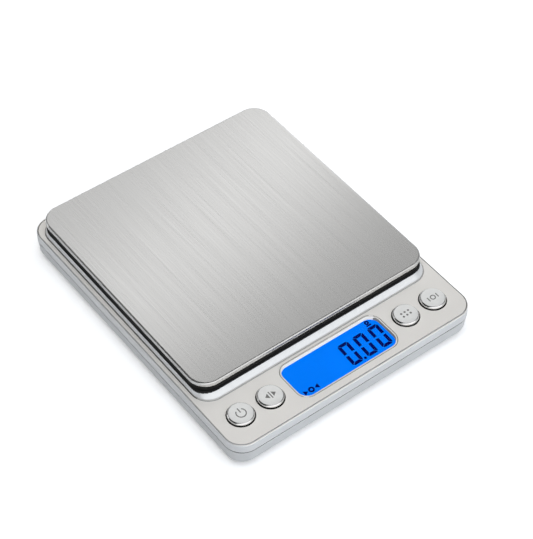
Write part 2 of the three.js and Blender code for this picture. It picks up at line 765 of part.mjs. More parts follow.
function housing() {
  const group = new THREE.Group();
  place(group, 'top_case', topCase(), 'silverPaint');
  place(group, 'bottom_case', bottomCase(), 'silverPaint');
  place(group, 'battery_door', batteryDoor(), 'silverPaint');
  const corners = { front_left: [-1, -1], front_right: [1, -1], rear_left: [-1, 1], rear_right: [1, 1] };
  for (const [corner, [sideX, sideY]] of Object.entries(corners)) {
    place(group, `foot_${corner}`, foot(), 'rubber', [sideX * FOOT_X, sideY * FOOT_Y, 0]);
    const screwY = sideY < 0 ? CASE_SCREW_Y[0] : CASE_SCREW_Y[1];
    const seat = [sideX * CASE_SCREW_X, screwY, BASE_Z + 2.3];
    place(group, `case_screw_${corner}`, screw(2.3, 1.4, 1.15, 8.2), 'screwSteel', seat);
  }
  return group;
}

function platform() {
  const group = new THREE.Group();
  group.position.set(0, PLATE_Y, 0);
  place(group, 'weighing_plate', weighingPlate(), 'steel');
  place(group, 'plate_tape_left', plateTape(), 'tape', [-34, 0, 0]);
  place(group, 'plate_tape_right', plateTape(), 'tape', [34, 0, 0]);
  place(group, 'platform_carrier', platformCarrier(), 'blackPlastic');
  CELL_SCREW_X.forEach((x, index) => {
    const fastener = screw(2.5, 1.5, 1.45, 9.4);
    const seat = [x, 0, CARRIER_BOTTOM_Z + 0.4];
    const mesh = place(group, `platform_screw_${index + 1}`, fastener, 'screwSteel', seat);
    mesh.rotation.x = Math.PI;
  });
  return group;
}

function sensor() {
  const group = new THREE.Group();
  group.position.set(0, PLATE_Y, 0);
  place(group, 'load_cell', loadCell(), 'aluminium');
  place(group, 'gauge_coating_top', gaugeCoating(CELL_TOP_Z + 0.05, CELL_TOP_Z + 0.7), 'sealant');
  place(group, 'gauge_coating_bottom', gaugeCoating(CELL_BOTTOM_Z - 0.7, CELL_BOTTOM_Z - 0.05), 'sealant');
  CELL_SCREW_X.forEach((x, index) => {
    const seat = [-x, 0, BASE_Z + 2.0];
    place(group, `cell_screw_${index + 1}`, screw(2.5, 1.6, 1.45, 7.4), 'screwSteel', seat);
  });
  return group;
}

function controls() {
  const group = new THREE.Group();
  for (const [name, x] of Object.entries(BUTTON_X)) {
    place(group, `button_${name}`, pushButton(), 'buttonChrome', [x, BUTTON_Y, 0]);
    place(group, `switch_plunger_${name}`, switchPlunger(), 'blackPlastic', [x, BUTTON_Y, 0]);
    place(group, `switch_body_${name}`, switchBody(), 'nickel', [x, BUTTON_Y, 0]);
  }
  place(group, 'display_window', displayWindow(), 'clearPlastic');
  place(group, 'lcd_glass', lcdGlass(), 'displayBlue');
  place(group, 'lcd_backlight', lcdBacklight(), 'whitePlastic');
  place(group, 'lcd_holder', lcdHolder(), 'whitePlastic');
  place(group, 'zebra_strip', zebraStrip(), 'rubber');
  place(group, 'main_pcb', mainPcb(), 'board');
  place(group, 'chip_blob', chipBlob(), 'epoxy', [8, -36.5, 0]);
  place(group, 'crystal', crystal(), 'nickel', [-13, -36.5, 0]);
  place(group, 'capacitor', capacitor(), 'epoxy', [17, -33, 0]);
  pcbScrewPositions().forEach(([x, y], index) => {
    const seat = [x, y, PCB_BOTTOM_Z - SEAT_GAP];
    place(group, `pcb_screw_${index + 1}`, screw(1.8, 1.0, 0.85, 5.2), 'screwSteel', seat);
  });
  return group;
}

function power() {
  const group = new THREE.Group();
  const nearY = WELL_Y - CELL_AAA_PITCH / 2;
  const farY = WELL_Y + CELL_AAA_PITCH / 2;
  const contactX = WELL_HALF_X - 0.3;
  const contactFace = contactX - 0.25;
  const cellStart = contactFace - CELL_AAA_LENGTH;
  const springStart = contactFace - 0.35;
  place(group, 'battery_1', aaaCell(), 'cellWrap', [cellStart, nearY, CELL_AAA_Z]);
  const second = place(group, 'battery_2', aaaCell(), 'cellWrap', [-cellStart, farY, CELL_AAA_Z]);
  second.rotation.z = Math.PI;
  place(group, 'spring_contact_1', batterySpring(), 'nickel', [-springStart, nearY, CELL_AAA_Z]);
  const springSeat = [springStart, farY, CELL_AAA_Z];
  const farSpring = place(group, 'spring_contact_2', batterySpring(), 'nickel', springSeat);
  farSpring.rotation.z = Math.PI;
  place(group, 'contact_tab_negative', contactTab(), 'nickel', [-contactX, nearY, 0]);
  place(group, 'contact_tab_positive', contactTab(), 'nickel', [-contactX, farY, 0]);
  place(group, 'contact_bridge', contactBridge(), 'nickel', [contactX, WELL_Y, 0]);
  return group;
}

function wiring() {
  const group = new THREE.Group();
  ['red', 'black', 'white', 'green'].forEach((colour, index) => {
    const finish = `wire${colour[0].toUpperCase()}${colour.slice(1)}`;
    place(group, `sensor_wire_${colour}`, sensorWire(index), finish);
  });
  const nearY = WELL_Y - CELL_AAA_PITCH / 2;
  const farY = WELL_Y + CELL_AAA_PITCH / 2;
  place(group, 'battery_wire_negative', batteryWire(nearY, -31, -16), 'wireBlack');
  place(group, 'battery_wire_positive', batteryWire(farY, -33.5, -19), 'wireRed');
  return group;
}

const scale = new THREE.Group();
scale.add(housing(), platform(), sensor(), controls(), power(), wiring());

export default scale;
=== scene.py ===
"""Looks for a pocket digital gram scale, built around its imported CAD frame.

Mesh code works in millimetres, in the frame's own axes: +Z up, the control panel facing -Y.
"""

import json
import math
from contextlib import contextmanager

import bmesh
import bpy
from mathutils import Matrix, Vector
from mathutils.bvhtree import BVHTree


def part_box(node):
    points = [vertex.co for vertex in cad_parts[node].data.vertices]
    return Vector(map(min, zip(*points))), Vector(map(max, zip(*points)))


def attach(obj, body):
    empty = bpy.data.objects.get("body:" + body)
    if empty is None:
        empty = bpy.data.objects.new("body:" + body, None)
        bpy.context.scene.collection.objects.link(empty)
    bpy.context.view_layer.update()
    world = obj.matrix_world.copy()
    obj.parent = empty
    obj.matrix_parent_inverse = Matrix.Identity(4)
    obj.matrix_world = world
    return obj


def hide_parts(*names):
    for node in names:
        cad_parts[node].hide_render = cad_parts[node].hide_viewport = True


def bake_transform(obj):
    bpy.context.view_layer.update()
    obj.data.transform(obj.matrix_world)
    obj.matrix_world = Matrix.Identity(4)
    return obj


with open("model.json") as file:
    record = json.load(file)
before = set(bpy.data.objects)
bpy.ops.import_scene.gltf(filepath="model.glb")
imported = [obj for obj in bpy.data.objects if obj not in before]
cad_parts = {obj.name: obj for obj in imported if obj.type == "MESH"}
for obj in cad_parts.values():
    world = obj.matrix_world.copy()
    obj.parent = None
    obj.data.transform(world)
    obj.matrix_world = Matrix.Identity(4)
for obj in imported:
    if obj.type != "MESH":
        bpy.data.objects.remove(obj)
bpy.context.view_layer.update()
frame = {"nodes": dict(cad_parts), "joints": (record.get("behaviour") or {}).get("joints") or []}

MM = 0.001
CORNER_STEPS = 14
ROUND_STEPS = 64

# ---- the frame, in millimetres


def box(node):
    """Lowest and highest corner of a CAD node."""
    low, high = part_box(node)
    return low / MM, high / MM


def middle(node):
    low, high = box(node)
    return (low + high) / 2


def probe(node, start, toward):
    """The point where a straight line from start first meets a CAD node."""
    mesh = frame["nodes"][node].data
    tree = BVHTree.FromPolygons([v.co / MM for v in mesh.vertices], [p.vertices for p in mesh.polygons])
    return tree.ray_cast(Vector(start), Vector(toward))[0]


DOWN = (0, 0, -1)
LEFTWARD = (-1, 0, 0)
BACKWARD = (0, 1, 0)
FORWARD = (0, -1, 0)

CASE_LOW, CASE_HIGH = box("top_case")
CASE_X = CASE_HIGH.x
CASE_Y = CASE_HIGH.y
CASE_CORNER = 7.2
CASE_CORNER_LEAST = 1.2
CASE_WALL = 1.8

PLATE_LOW, PLATE_HIGH = box("weighing_plate")
PLATE_X = PLATE_HIGH.x
PLATE_Y = middle("weighing_plate").y
PLATE_CORNER = 7.1
PLATE_CORNER_LEAST = 1.0
PLATE_SHEET = 0.6
PLATE_BEND = 0.75

BUTTONS = ("power", "mode", "count", "tare")
CORNERS = ("front_left", "front_right", "rear_left", "rear_right")
BUTTON_FLANGE = 0.9

PANEL_Z = probe("top_case", (CASE_X - 16, -CASE_Y + 4, 30), DOWN).z
PLATEAU_Z = probe("top_case", (-CASE_X / 2, PLATE_Y, 30), DOWN).z
PARTING_Z = probe("bottom_case", (CASE_X - 1.2, 0, 30), DOWN).z + 0.05
FLOOR_TOP_Z = probe("bottom_case", (CASE_X - 8, 0, 5), DOWN).z
BASE_Z = box("bottom_case")[0].z
PANEL_UNDER_Z = PANEL_Z - CASE_WALL
PLATEAU_UNDER_Z = PLATEAU_Z - 1.4

# ---- outlines


def rounded_outline(left, right, front, back, radius):
    """Points of a rounded rectangle, anticlockwise from its right-hand side."""
    centres = (
        (right - radius, back - radius),
        (left + radius, back - radius),
        (left + radius, front + radius),
        (right - radius, front + radius),
    )
    points = []
    for quarter, (x, y) in enumerate(centres):
        for i in range(CORNER_STEPS + 1):
            angle = (quarter + i / CORNER_STEPS) * math.pi / 2
            points.append((x + radius * math.cos(angle), y + radius * math.sin(angle)))
    return points


def at_height(outline, z):
    return [(x, y, z) for x, y in outline]


def arc(centre, radius, start, end, steps):
    """Points (u, v) along an arc, with angles in degrees."""
    u, v = centre
    points = []
    for i in range(steps + 1):
        angle = math.radians(start + (end - start) * i / steps)
        points.append((u + radius * math.cos(angle), v + radius * math.sin(angle)))
    return points


def rim_ring(side_inset, front_inset, z):
    """A ring of the case whose inset in front and behind differs from its inset on the sides."""
    radius = max(CASE_CORNER - (side_inset + front_inset) / 2, CASE_CORNER_LEAST)
    half = CASE_X - side_inset
    reach = CASE_Y - front_inset
    return at_height(rounded_outline(-half, half, -reach, reach, radius), z)


def case_ring(inset, z):
    return rim_ring(inset, inset, z)


def quarter_round(steps):
    """How far in and how far up a rounded edge has come, as shares of its size."""
    angles = [math.radians(90 * i / steps) for i in range(steps + 1)]
    return [(1 - math.cos(a), math.sin(a)) for a in angles]


def plate_ring(inset, z):
    radius = max(PLATE_CORNER - inset, PLATE_CORNER_LEAST)
    side = PLATE_X - inset
    outline = rounded_outline(-side, side, PLATE_Y - side, PLATE_Y + side, radius)
    return at_height(outline, z)


# ---- meshes


@contextmanager
def editing(mesh):
    """The mesh opened for editing, and written back at the end."""
    shape = bmesh.new()
    shape.from_mesh(mesh)
    yield shape
    shape.to_mesh(mesh)
    shape.free()


def add_object(name, data):
    added = bpy.data.objects.new(name, data)
    bpy.context.scene.collection.objects.link(added)
    return added


def skin(name, rings):
    """A closed body through rings of equal point counts, with a flat cap on each end."""
    count = len(rings[0])
    points = [p for ring in rings for p in ring]
    faces = []
    for low in range(0, count * (len(rings) - 1), count):
        for i in range(count):
            after = (i + 1) % count
            faces.append((low + i, low + after, low + count + after, low + count + i))
    faces += [tuple(reversed(range(count))), tuple(range(len(points) - count, len(points)))]
    mesh = bpy.data.meshes.new(name)
    mesh.from_pydata([Vector(p) * MM for p in points], [], faces)
    with editing(mesh) as shape:
        bmesh.ops.recalc_face_normals(shape, faces=shape.faces)
    return add_object(name, mesh)


def prism(name, outline, bottom, top):
    return skin(name, [at_height(outline, bottom), at_height(outline, top)])


def block(name, left, right, front, back, bottom, top):
    outline = ((right, back), (left, back), (left, front), (right, front))
    return prism(name, outline, bottom, top)


def circle(radius, z, centre=(0, 0), steps=ROUND_STEPS):
    angles = [2 * math.pi * i / steps for i in range(steps)]
    return [(centre[0] + radius * math.cos(a), centre[1] + radius * math.sin(a), z) for a in angles]


def turned(name, profile, centre=(0, 0), steps=ROUND_STEPS):
    """A body turned about a vertical axis from (radius, height) pairs, capped at both ends."""
    return skin(name, [circle(radius, z, centre, steps) for radius, z in profile])


def rod(name, radius, bottom, top, centre, steps=32):
    return turned(name, [(radius, bottom), (radius, top)], centre, steps)


def apply_modifiers(piece):
    view = bpy.context.evaluated_depsgraph_get()
    mesh = bpy.data.meshes.new_from_object(piece.evaluated_get(view))
    old = piece.data
    piece.modifiers.clear()
    piece.data = mesh
    bpy.data.meshes.remove(old)
    return piece


def combine(piece, tools, operation):
    for tool in tools:
        step = piece.modifiers.new("combine", "BOOLEAN")
        step.operation = operation
        step.solver = "MANIFOLD"
        step.object = tool
    apply_modifiers(piece)
    for tool in tools:
        bpy.data.objects.remove(tool)
    return piece


def carve(piece, *tools):
    return combine(piece, tools, "DIFFERENCE")


def unite(piece, *tools):
    return combine(piece, tools, "UNION")


def soften(piece, sharp_angle=30, bevel=0.0):
    """Rounds the piece's hard edges by bevel, and shades it smooth up to sharp_angle."""
    if bevel:
        step = piece.modifiers.new("edges", "BEVEL")
        step.width = bevel * MM
        step.segments = 2
        step.limit_method = "ANGLE"
        step.angle_limit = math.radians(sharp_angle)
        apply_modifiers(piece)
    piece.data.shade_smooth()
    piece.data.set_sharp_from_angle(angle=math.radians(sharp_angle + 15))
    flatten = piece.modifiers.new("flat_faces", "WEIGHTED_NORMAL")
    flatten.keep_sharp = True
    flatten.weight = 60
    return piece


def from_cad(node, flat_angle=1.0):
    """A new piece with a CAD node's shape, its shared corners merged and its flat faces whole."""
    mesh = frame["nodes"][node].data.copy()
    limit = math.radians(flat_angle)
    with editing(mesh) as shape:
        bmesh.ops.remove_doubles(shape, verts=shape.verts, dist=0.002 * MM)
        bmesh.ops.dissolve_limit(shape, angle_limit=limit, verts=shape.verts, edges=shape.edges)
    mesh.materials.clear()
    return add_object(node + "_fine", mesh)


def dress(piece, material, body, node):
    """Gives the piece its finish and its body, and hides the CAD node, if any, that it stands for."""
    piece.data.materials.clear()
    piece.data.materials.append(material)
    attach(piece, body)
    if node:
        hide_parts(node)
    return piece


def refine(node, material, bevel, body="case"):
    """Shows a node whose CAD shape is right: its edges are rounded and it gets its finish."""
    return dress(soften(from_cad(node), bevel=bevel), material, body, node)


def extra_finish(piece, material, chosen):
    """Puts another finish on the faces whose centre (in millimetres) and normal are chosen."""
    piece.data.materials.append(material)
    index = len(piece.data.materials) - 1
    for face in piece.data.polygons:
        if chosen(face.center / MM, face.normal):
            face.material_index = index


# ---- material tools


class Nodes:
    """A shader under construction: nodes are added with their inputs by socket name or number."""

    def __init__(self, owner, output):
        self.owner = owner
        owner.use_nodes = True
        self.tree = owner.node_tree
        self.output = self.tree.nodes[output]

    def node(self, kind, inputs=None, **settings):
        added = self.tree.nodes.new("ShaderNode" + kind)
        for key, value in settings.items():
            setattr(added, key, value)
        self.feed(added, inputs or {})
        return added

    def feed(self, node, inputs):
        for key, value in inputs.items():
            socket = node.inputs[key]
            if isinstance(value, bpy.types.NodeSocket):
                self.tree.links.new(value, socket)
            else:
                socket.default_value = value

    def math(self, operation, a, b=0.0):
        return self.node("Math", {0: a, 1: b}, operation=operation).outputs[0]

    def span(self, value, low, high, start=0.3, end=0.7, curve="LINEAR"):
        """Maps a factor between start and end onto low to high."""
        inputs = {"Value": value, "From Min": start, "From Max": end, "To Min": low, "To Max": high}
        return self.node("MapRange", inputs, interpolation_type=curve).outputs["Result"]

    def mix(self, factor, first, second):
        inputs = {0: factor, 6: (*first, 1), 7: (*second, 1)}
        return self.node("Mix", inputs, data_type="RGBA").outputs[2]

    def choose(self, factor, first, second):
        """The first shader where the factor is 0, the second where it is 1."""
        return self.node("MixShader", {0: factor, 1: first.outputs[0], 2: second.outputs[0]})

    def show(self, shader):
        self.tree.links.new(shader.outputs[0], self.output.inputs["Surface"])
        return self.owner

    def ray(self, kind):
        return self.node("LightPath").outputs[f"Is {kind} Ray"]


class Finish(Nodes):
    """A material whose colour, roughness and bump come from noise."""

    def __init__(self, name):
        super().__init__(bpy.data.materials.new(name), "Material Output")
        self.surface = self.tree.nodes["Principled BSDF"]
        self.place = self.node("TexCoord").outputs["Object"]

    def set(self, **inputs):
        self.feed(self.surface, {key.replace("_", " "): value for key, value in inputs.items()})
        return self.owner

    def noise(self, size, detail=3.0, stretch=(1, 1, 1), shift=0.0):
        """Noise whose features are about size millimetres, longer along an axis by its stretch."""
        scale = [1 / (size * MM * s) for s in stretch]
        inputs = {"Vector": self.place, "Scale": scale, "Location": (shift, shift, shift)}
        moved = self.node("Mapping", inputs).outputs["Vector"]
        return self.node("TexNoise", {"Vector": moved, "Scale": 1.0, "Detail": detail}).outputs["Fac"]

    def shade(self, colour, factor):
        """The colour made lighter or darker by a factor socket."""
        scaled = self.node("VectorMath", {0: colour, "Scale": factor}, operation="SCALE")
        return scaled.outputs["Vector"]

    def bump(self, height, depth):
        """A normal from a height factor, where depth is its full height in millimetres."""
        inputs = {"Height": height, "Strength": 1.0, "Distance": depth * MM}
        return self.node("Bump", inputs).outputs["Normal"]


def painted_silver(name, colour, roughness=0.34, metallic=0.45):
    """Silver paint on moulded plastic: fine metal flake under a satin, slightly wavy film."""
    finish = Finish(name)
    flake = finish.noise(0.12, detail=2.0)
    cloud = finish.noise(14.0, detail=2.0, shift=3.0)
    tone = finish.math("ADD", flake, cloud)
    return finish.set(
        Base_Color=finish.shade(colour, finish.span(tone, 0.975, 1.025, 0.7, 1.3)),
        Metallic=metallic,
        Roughness=finish.span(finish.noise(0.9), roughness - 0.03, roughness + 0.04),
        Normal=finish.bump(finish.noise(0.45, detail=2.0, shift=7.0), 0.0012),
    )


def textured(name, colour, tone, roughness, relief, **more):
    """A finish from three noises: (noise, low, high) for tone and roughness, (noise, depth) for bump."""
    finish = Finish(name)
    return finish.set(
        Base_Color=finish.shade(colour, finish.span(finish.noise(**tone[0]), *tone[1:])),
        Roughness=finish.span(finish.noise(**roughness[0]), *roughness[1:]),
        Normal=finish.bump(finish.noise(**relief[0]), relief[1]),
        **more,
    )


def moulded_plastic(name, colour, roughness=0.5, grain=0.25, depth=0.004, sheen=0.5):
    """Plain moulded plastic with the fine texture of its tool."""
    tone = (dict(size=6.0), 0.93, 1.07)
    rough = (dict(size=1.5, shift=2.0), roughness - 0.05, roughness + 0.06)
    relief = (dict(size=grain, detail=4.0), depth)
    return textured(name, colour, tone, rough, relief, Specular_IOR_Level=sheen)


def brushed_steel():
    """Stainless sheet brushed from front to back, so that highlights spread sideways."""
    finish = Finish("brushed_steel")
    streaks = finish.noise(0.30, detail=3.0, stretch=(1, 160, 1))
    hairs = finish.noise(0.11, detail=2.0, stretch=(1, 90, 1), shift=5.0)
    tone = finish.math("ADD", streaks, hairs)
    lean = finish.node("CombineXYZ", {"X": 1.0, "Y": 0.0, "Z": 0.15}).outputs["Vector"]
    return finish.set(
        Base_Color=finish.shade((0.735, 0.733, 0.728), finish.span(tone, 0.98, 1.018, 0.7, 1.3)),
        Metallic=1.0,
        Roughness=finish.span(streaks, 0.22, 0.28),
        Anisotropic=1.0,
        Tangent=lean,
        Normal=finish.bump(hairs, 0.0002),
    )


def plated_silver(name, colour, metallic, low, high, peel=0.0015):
    """Silver plating with a trace of rubbing, and orange peel of the given depth."""
    rubbed = dict(size=1.8, detail=4.0)
    relief = (dict(size=0.8, shift=4.0), peel)
    return textured(name, colour, (rubbed, 0.97, 1.03), (rubbed, low, high), relief, Metallic=metallic)


def turned_metal(name, colour, roughness=0.3, grain=0.2):
    """Plated or milled metal with fine tool marks."""
    marks = dict(size=grain, detail=3.0, stretch=(1, 1, 6))
    tone = (dict(size=2.0), 0.9, 1.08)
    rough = (marks, roughness - 0.06, roughness + 0.1)
    return textured(name, colour, tone, rough, (marks, 0.002), Metallic=1.0)


def soft_rubber(name, colour, roughness=0.8):
    dust = dict(size=0.5, detail=5.0)
    rough = (dust, roughness - 0.08, roughness + 0.1)
    return textured(name, colour, (dust, 0.85, 1.3), rough, (dict(size=0.18, detail=4.0), 0.01))


def clear_acrylic():
    """The display window: see-through from straight on, mirror-like at a shallow angle."""
    finish = Finish("clear_acrylic")
    clear = finish.node("BsdfTransparent", {"Color": (0.985, 0.99, 1.0, 1)})
    scuffs = finish.span(finish.noise(1.2, detail=5.0), 0.02, 0.09)
    gloss = finish.node("BsdfGlossy", {"Color": WHITE, "Roughness": scuffs})
    facing = finish.node("Fresnel", {"IOR": 1.09}).outputs[0]
    finish.tree.nodes.remove(finish.surface)
    return finish.show(finish.choose(facing, clear, gloss))


def lit_display():
    """Backlit blue liquid crystal: an even glow with a faint falloff away from its lamps."""
    finish = Finish("lit_display")
    glow = finish.span(finish.noise(16.0, detail=1.0), 0.97, 1.03)
    seen = finish.ray("Camera")
    return finish.set(
        Base_Color=(0.0, 0.0, 0.02, 1),
        Roughness=0.25,
        Specular_IOR_Level=0.0,
        Emission_Color=finish.shade((0.0, 0.196, 0.965), glow),
        Emission_Strength=finish.span(seen, 0.15, 1.0, 0, 1),
    )


def dark_segment():
    """Switched-on liquid crystal, nearly black with the blue glow bleeding through."""
    finish = Finish("dark_segment")
    bleed = finish.span(finish.noise(0.8), 0.7, 1.3)
    return finish.set(
        Base_Color=(0.0, 0.0, 0.01, 1),
        Roughness=0.4,
        Specular_IOR_Level=0.0,
        Emission_Color=finish.shade((0.001, 0.003, 0.085), bleed),
        Emission_Strength=1.0,
    )


def glow_painted_plastic():
    """White plastic around the display, with a faint painted glow, seen by the camera only, that stands
    in for the backlight's spill.
    """
    finish = Finish("window_white")
    seen = finish.ray("Camera")
    return finish.set(
        Base_Color=finish.shade((0.86, 0.865, 0.87), finish.span(finish.noise(2.0), 0.98, 1.02)),
        Roughness=0.35,
        Emission_Color=(1.0, 1.0, 0.99, 1),
        Emission_Strength=finish.span(seen, 0.0, 0.38, 0, 1),
    )


def circuit_board():
    """Green solder mask over copper traces that run in straight lanes."""
    finish = Finish("circuit_board")
    lanes = finish.node("TexBrick", {"Vector": finish.place, "Scale": 260.0, "Mortar Size": 0.03})
    traced = finish.mix(lanes.outputs["Fac"], (0.018, 0.13, 0.045), (0.03, 0.20, 0.075))
    return finish.set(
        Base_Color=traced,
        Roughness=finish.span(finish.noise(3.0), 0.28, 0.4),
        Coat_Weight=0.4,
        Normal=finish.bump(lanes.outputs["Fac"], 0.02),
    )


def battery_wrap(nub_end, body_end):
    """Shrink film on a cell: dark over most of its length, copper-coloured at the nub end."""
    finish = Finish("cell_wrap_copper_top")
    x = finish.node("SeparateXYZ", {"Vector": finish.place}).outputs["X"]
    share = finish.span(x, 0.0, 1.0, body_end * MM, nub_end * MM)
    copper = finish.math("GREATER_THAN", share, 0.72)
    return finish.set(
        Base_Color=finish.mix(copper, (0.022, 0.027, 0.035), (0.55, 0.27, 0.11)),
        Metallic=finish.span(copper, 0.15, 0.8, 0, 1),
        Roughness=finish.span(finish.noise(2.0), 0.24, 0.36),
        Normal=finish.bump(finish.noise(1.6, detail=2.0), 0.01),
    )


def wire_cover(name, colour):
    rough = (dict(size=0.6, shift=1.0), 0.38, 0.5)
    return textured(name, colour, (dict(size=1.2), 0.85, 1.15), rough, (dict(size=0.3), 0.01))


def floor_material():
    """A plain white studio floor, see-through from below so that the underside can be looked at."""
    finish = Finish("studio_floor")
    seen = finish.ray("Camera")
    surroundings = finish.node("NewGeometry").outputs
    spot = finish.node("SeparateXYZ", {0: surroundings["Position"]}).outputs
    spans = []
    for axis, edge in (("X", CASE_X), ("Y", CASE_Y)):
        away = finish.math("ABSOLUTE", spot[axis])
        spans.append(finish.span(away, UNDERSIDE_GLOW, 0.0, (edge - 9) * MM, (edge - 2) * MM))
    brightness = finish.span(seen, FLOOR_ELSEWHERE, FLOOR_SEEN, 0, 1)
    finish.set(
        Base_Color=finish.shade((0.985, 0.99, 1.0), brightness),
        Roughness=0.9,
        Specular_IOR_Level=0.0,
        Emission_Color=WHITE,
        Emission_Strength=finish.span(seen, finish.math("MINIMUM", *spans), FLOOR_GLOW, 0, 1),
    )
    clear = finish.node("BsdfTransparent", {"Color": WHITE})
    return finish.show(finish.choose(surroundings["Backfacing"], finish.surface, clear))


WHITE = (1.0, 1.0, 1.0, 1)

PANEL_PAINT = painted_silver("silver_paint", (0.735, 0.71, 0.678), metallic=0.18)
# A lighter, cooler copy of the silver paint: painted light on the upper shell's outer walls, standing in
# for the cool light in front.
LIT_WALL_PAINT = painted_silver("silver_paint_wall", (0.765, 0.77, 0.78), metallic=0.2)
TRAY_PAINT = painted_silver("silver_paint_lower", (0.70, 0.705, 0.71), roughness=0.4, metallic=0.3)
STEEL = brushed_steel()
CROWN = plated_silver("button_satin", (0.78, 0.777, 0.765), 0.35, 0.30, 0.38)
# A lighter, more metallic copy of the silver paint: painted light on the plinth's walls, so that they
# mirror the bright card in front.
LIT_PLINTH_PAINT = plated_silver("silver_paint_plinth", (0.80, 0.81, 0.825), 0.5, 0.3, 0.3, peel=0.0002)
PLATING = plated_silver("button_polish", (0.86, 0.86, 0.86), 1.0, 0.10, 0.17)
BLACK_ABS = moulded_plastic("black_abs", (0.010, 0.0095, 0.009), roughness=0.6, sheen=0.15)
WHITE_ABS = moulded_plastic("white_abs", (0.80, 0.80, 0.78), roughness=0.45, depth=0.002)
EPOXY = moulded_plastic("black_epoxy", (0.012, 0.012, 0.012), roughness=0.3, grain=1.2)
WINDOW_WHITE_GLOW = glow_painted_plastic()
# Grey that paints the shade on the window's left and right walls.
WINDOW_SIDE_SHADE = moulded_plastic("window_side", (0.52, 0.51, 0.49), roughness=0.6)
GROOVE_SHADOW = moulded_plastic("groove_shadow", (0.12, 0.12, 0.12), roughness=0.7)
CREASE_SHADE = moulded_plastic("crease_shade", (0.34, 0.34, 0.34), roughness=0.6)
GAP_SHADOW = moulded_plastic("gap_shadow", (0.02, 0.02, 0.02), roughness=0.7, sheen=0.15)
GLYPH_INK = moulded_plastic("glyph_grey", (0.16, 0.155, 0.15), roughness=0.6)
SEALANT = soft_rubber("white_sealant", (0.78, 0.78, 0.74), roughness=0.45)
FOAM = soft_rubber("foam_tape", (0.62, 0.60, 0.53), roughness=0.9)
RUBBER = soft_rubber("foot_rubber", (0.035, 0.035, 0.036))
SCREW_STEEL = turned_metal("zinc_plated_steel", (0.56, 0.57, 0.58), roughness=0.32)
ALUMINIUM = turned_metal("milled_aluminium", (0.72, 0.73, 0.74), roughness=0.34, grain=0.35)
NICKEL = turned_metal("nickel_plate", (0.66, 0.63, 0.57), roughness=0.22)
ACRYLIC = clear_acrylic()
DISPLAY = lit_display()
SEGMENT = dark_segment()
BOARD = circuit_board()

# ---- weighing plate and its carrier


def weighing_plate():
    """The folded stainless tray, with a rounded bend all round and a softened lower lip."""
    top = PLATE_HIGH.z
    ceiling = top - PLATE_SHEET
    lip = PLATE_SHEET / 2
    inner_bend = 0.2
    side = arc((PLATE_SHEET + inner_bend, ceiling - inner_bend), inner_bend, 90, 180, 4)
    side += arc((lip, PLATE_LOW.z + lip), lip, 0, -180, 8)
    side += arc((PLATE_BEND, top - PLATE_BEND), PLATE_BEND, 180, 90, 10)
    plate = skin("weighing_plate_sheet", [plate_ring(inset, z) for inset, z in side])
    soften(plate, sharp_angle=40)
    dress(plate, STEEL, "platform", "weighing_plate")


def platform_parts():
    refine("platform_carrier", BLACK_ABS, 0.1, "platform")
    for side in ("left", "right"):
        refine("plate_tape_" + side, FOAM, 0.08, "platform")


# ---- case shells

PLINTH_BASE = {
    "half": probe("top_case", (CASE_X, PLATE_Y, PANEL_Z + 0.01), LEFTWARD).x,
    "front": probe("top_case", (0, -CASE_Y, PANEL_Z + 0.01), BACKWARD).y,
    "back": probe("top_case", (0, CASE_Y, PANEL_Z + 0.01), FORWARD).y,
    "corner": 7.0,
}
PLINTH_TOP = {
    "half": PLINTH_BASE["half"] - 0.75,
    "front": PLINTH_BASE["front"] + 2.0,
    "back": PLINTH_BASE["back"] - 0.8,
    "corner": 6.6,
}
PLINTH_CEILING_INSET = 1.4
PLINTH_EDGE = 0.8

SHOULDER_SIDE = 0.2
SHOULDER_FRONT = 0.62
SHOULDER_HEIGHT = 0.5
GROOVE_WIDTH = 0.4
GROOVE_DEPTH = 0.6
SEAM_Z = PARTING_Z + 0.35
SEAM_HEIGHT = 0.5
SEAM_DEPTH = 0.5

WINDOW = {"half": 21.1, "front": -59.1, "back": -43.6, "corner": 3.9}
BORDER_DEPTH = 0.3
BUTTON_HOLE_RADIUS = 5.0
KEY_CENTRES = [middle("button_" + name) for name in BUTTONS]

LIP_OUTSIDE = 2.2
LIP_INSIDE = 3.0
TRAY_WALL = 2.05
POST_RADIUS = 3.2
BATTERY_WELL = (-25, 25, 32.9, 55.1)
WELL_WALL = (-27.6, 27.6, 28.4, 57.8)


def grown_outline(size, grow):
    half = size["half"] + grow
    front, back = size["front"] - grow, size["back"] + grow
    return rounded_outline(-half, half, front, back, size["corner"] + grow)


def plinth_ring(z, grow=0.0):
    """The plinth's outline at a height, its four sides leaning in by different amounts."""
    share = min(max((z - PANEL_Z) / (PLATEAU_Z - PANEL_Z), 0.0), 1.0)
    size = {key: base + (PLINTH_TOP[key] - base) * share for key, base in PLINTH_BASE.items()}
    return at_height(grown_outline(size, grow), z)


def top_case_side():
    """Rings up the outside of the upper shell: parting line, wall, shoulder, groove and panel."""
    wall = 0.08
    rings = [
        case_ring(0.1, SEAM_Z + 0.05),
        case_ring(0.0, SEAM_Z + 0.15),
        case_ring(wall, PANEL_Z - SHOULDER_HEIGHT),
    ]
    for inward, up in quarter_round(6)[1:]:
        side = wall + (SHOULDER_SIDE - wall) * inward
        front = wall + (SHOULDER_FRONT - wall) * inward
        rings.append(rim_ring(side, front, PANEL_Z - SHOULDER_HEIGHT * (1 - up)))
    slope = 0.06
    groove = ((slope, GROOVE_DEPTH), (GROOVE_WIDTH - slope, GROOVE_DEPTH), (GROOVE_WIDTH, 0.0))
    for across, depth in groove:
        rings.append(rim_ring(SHOULDER_SIDE + across, SHOULDER_FRONT + across, PANEL_Z - depth))
    return rings


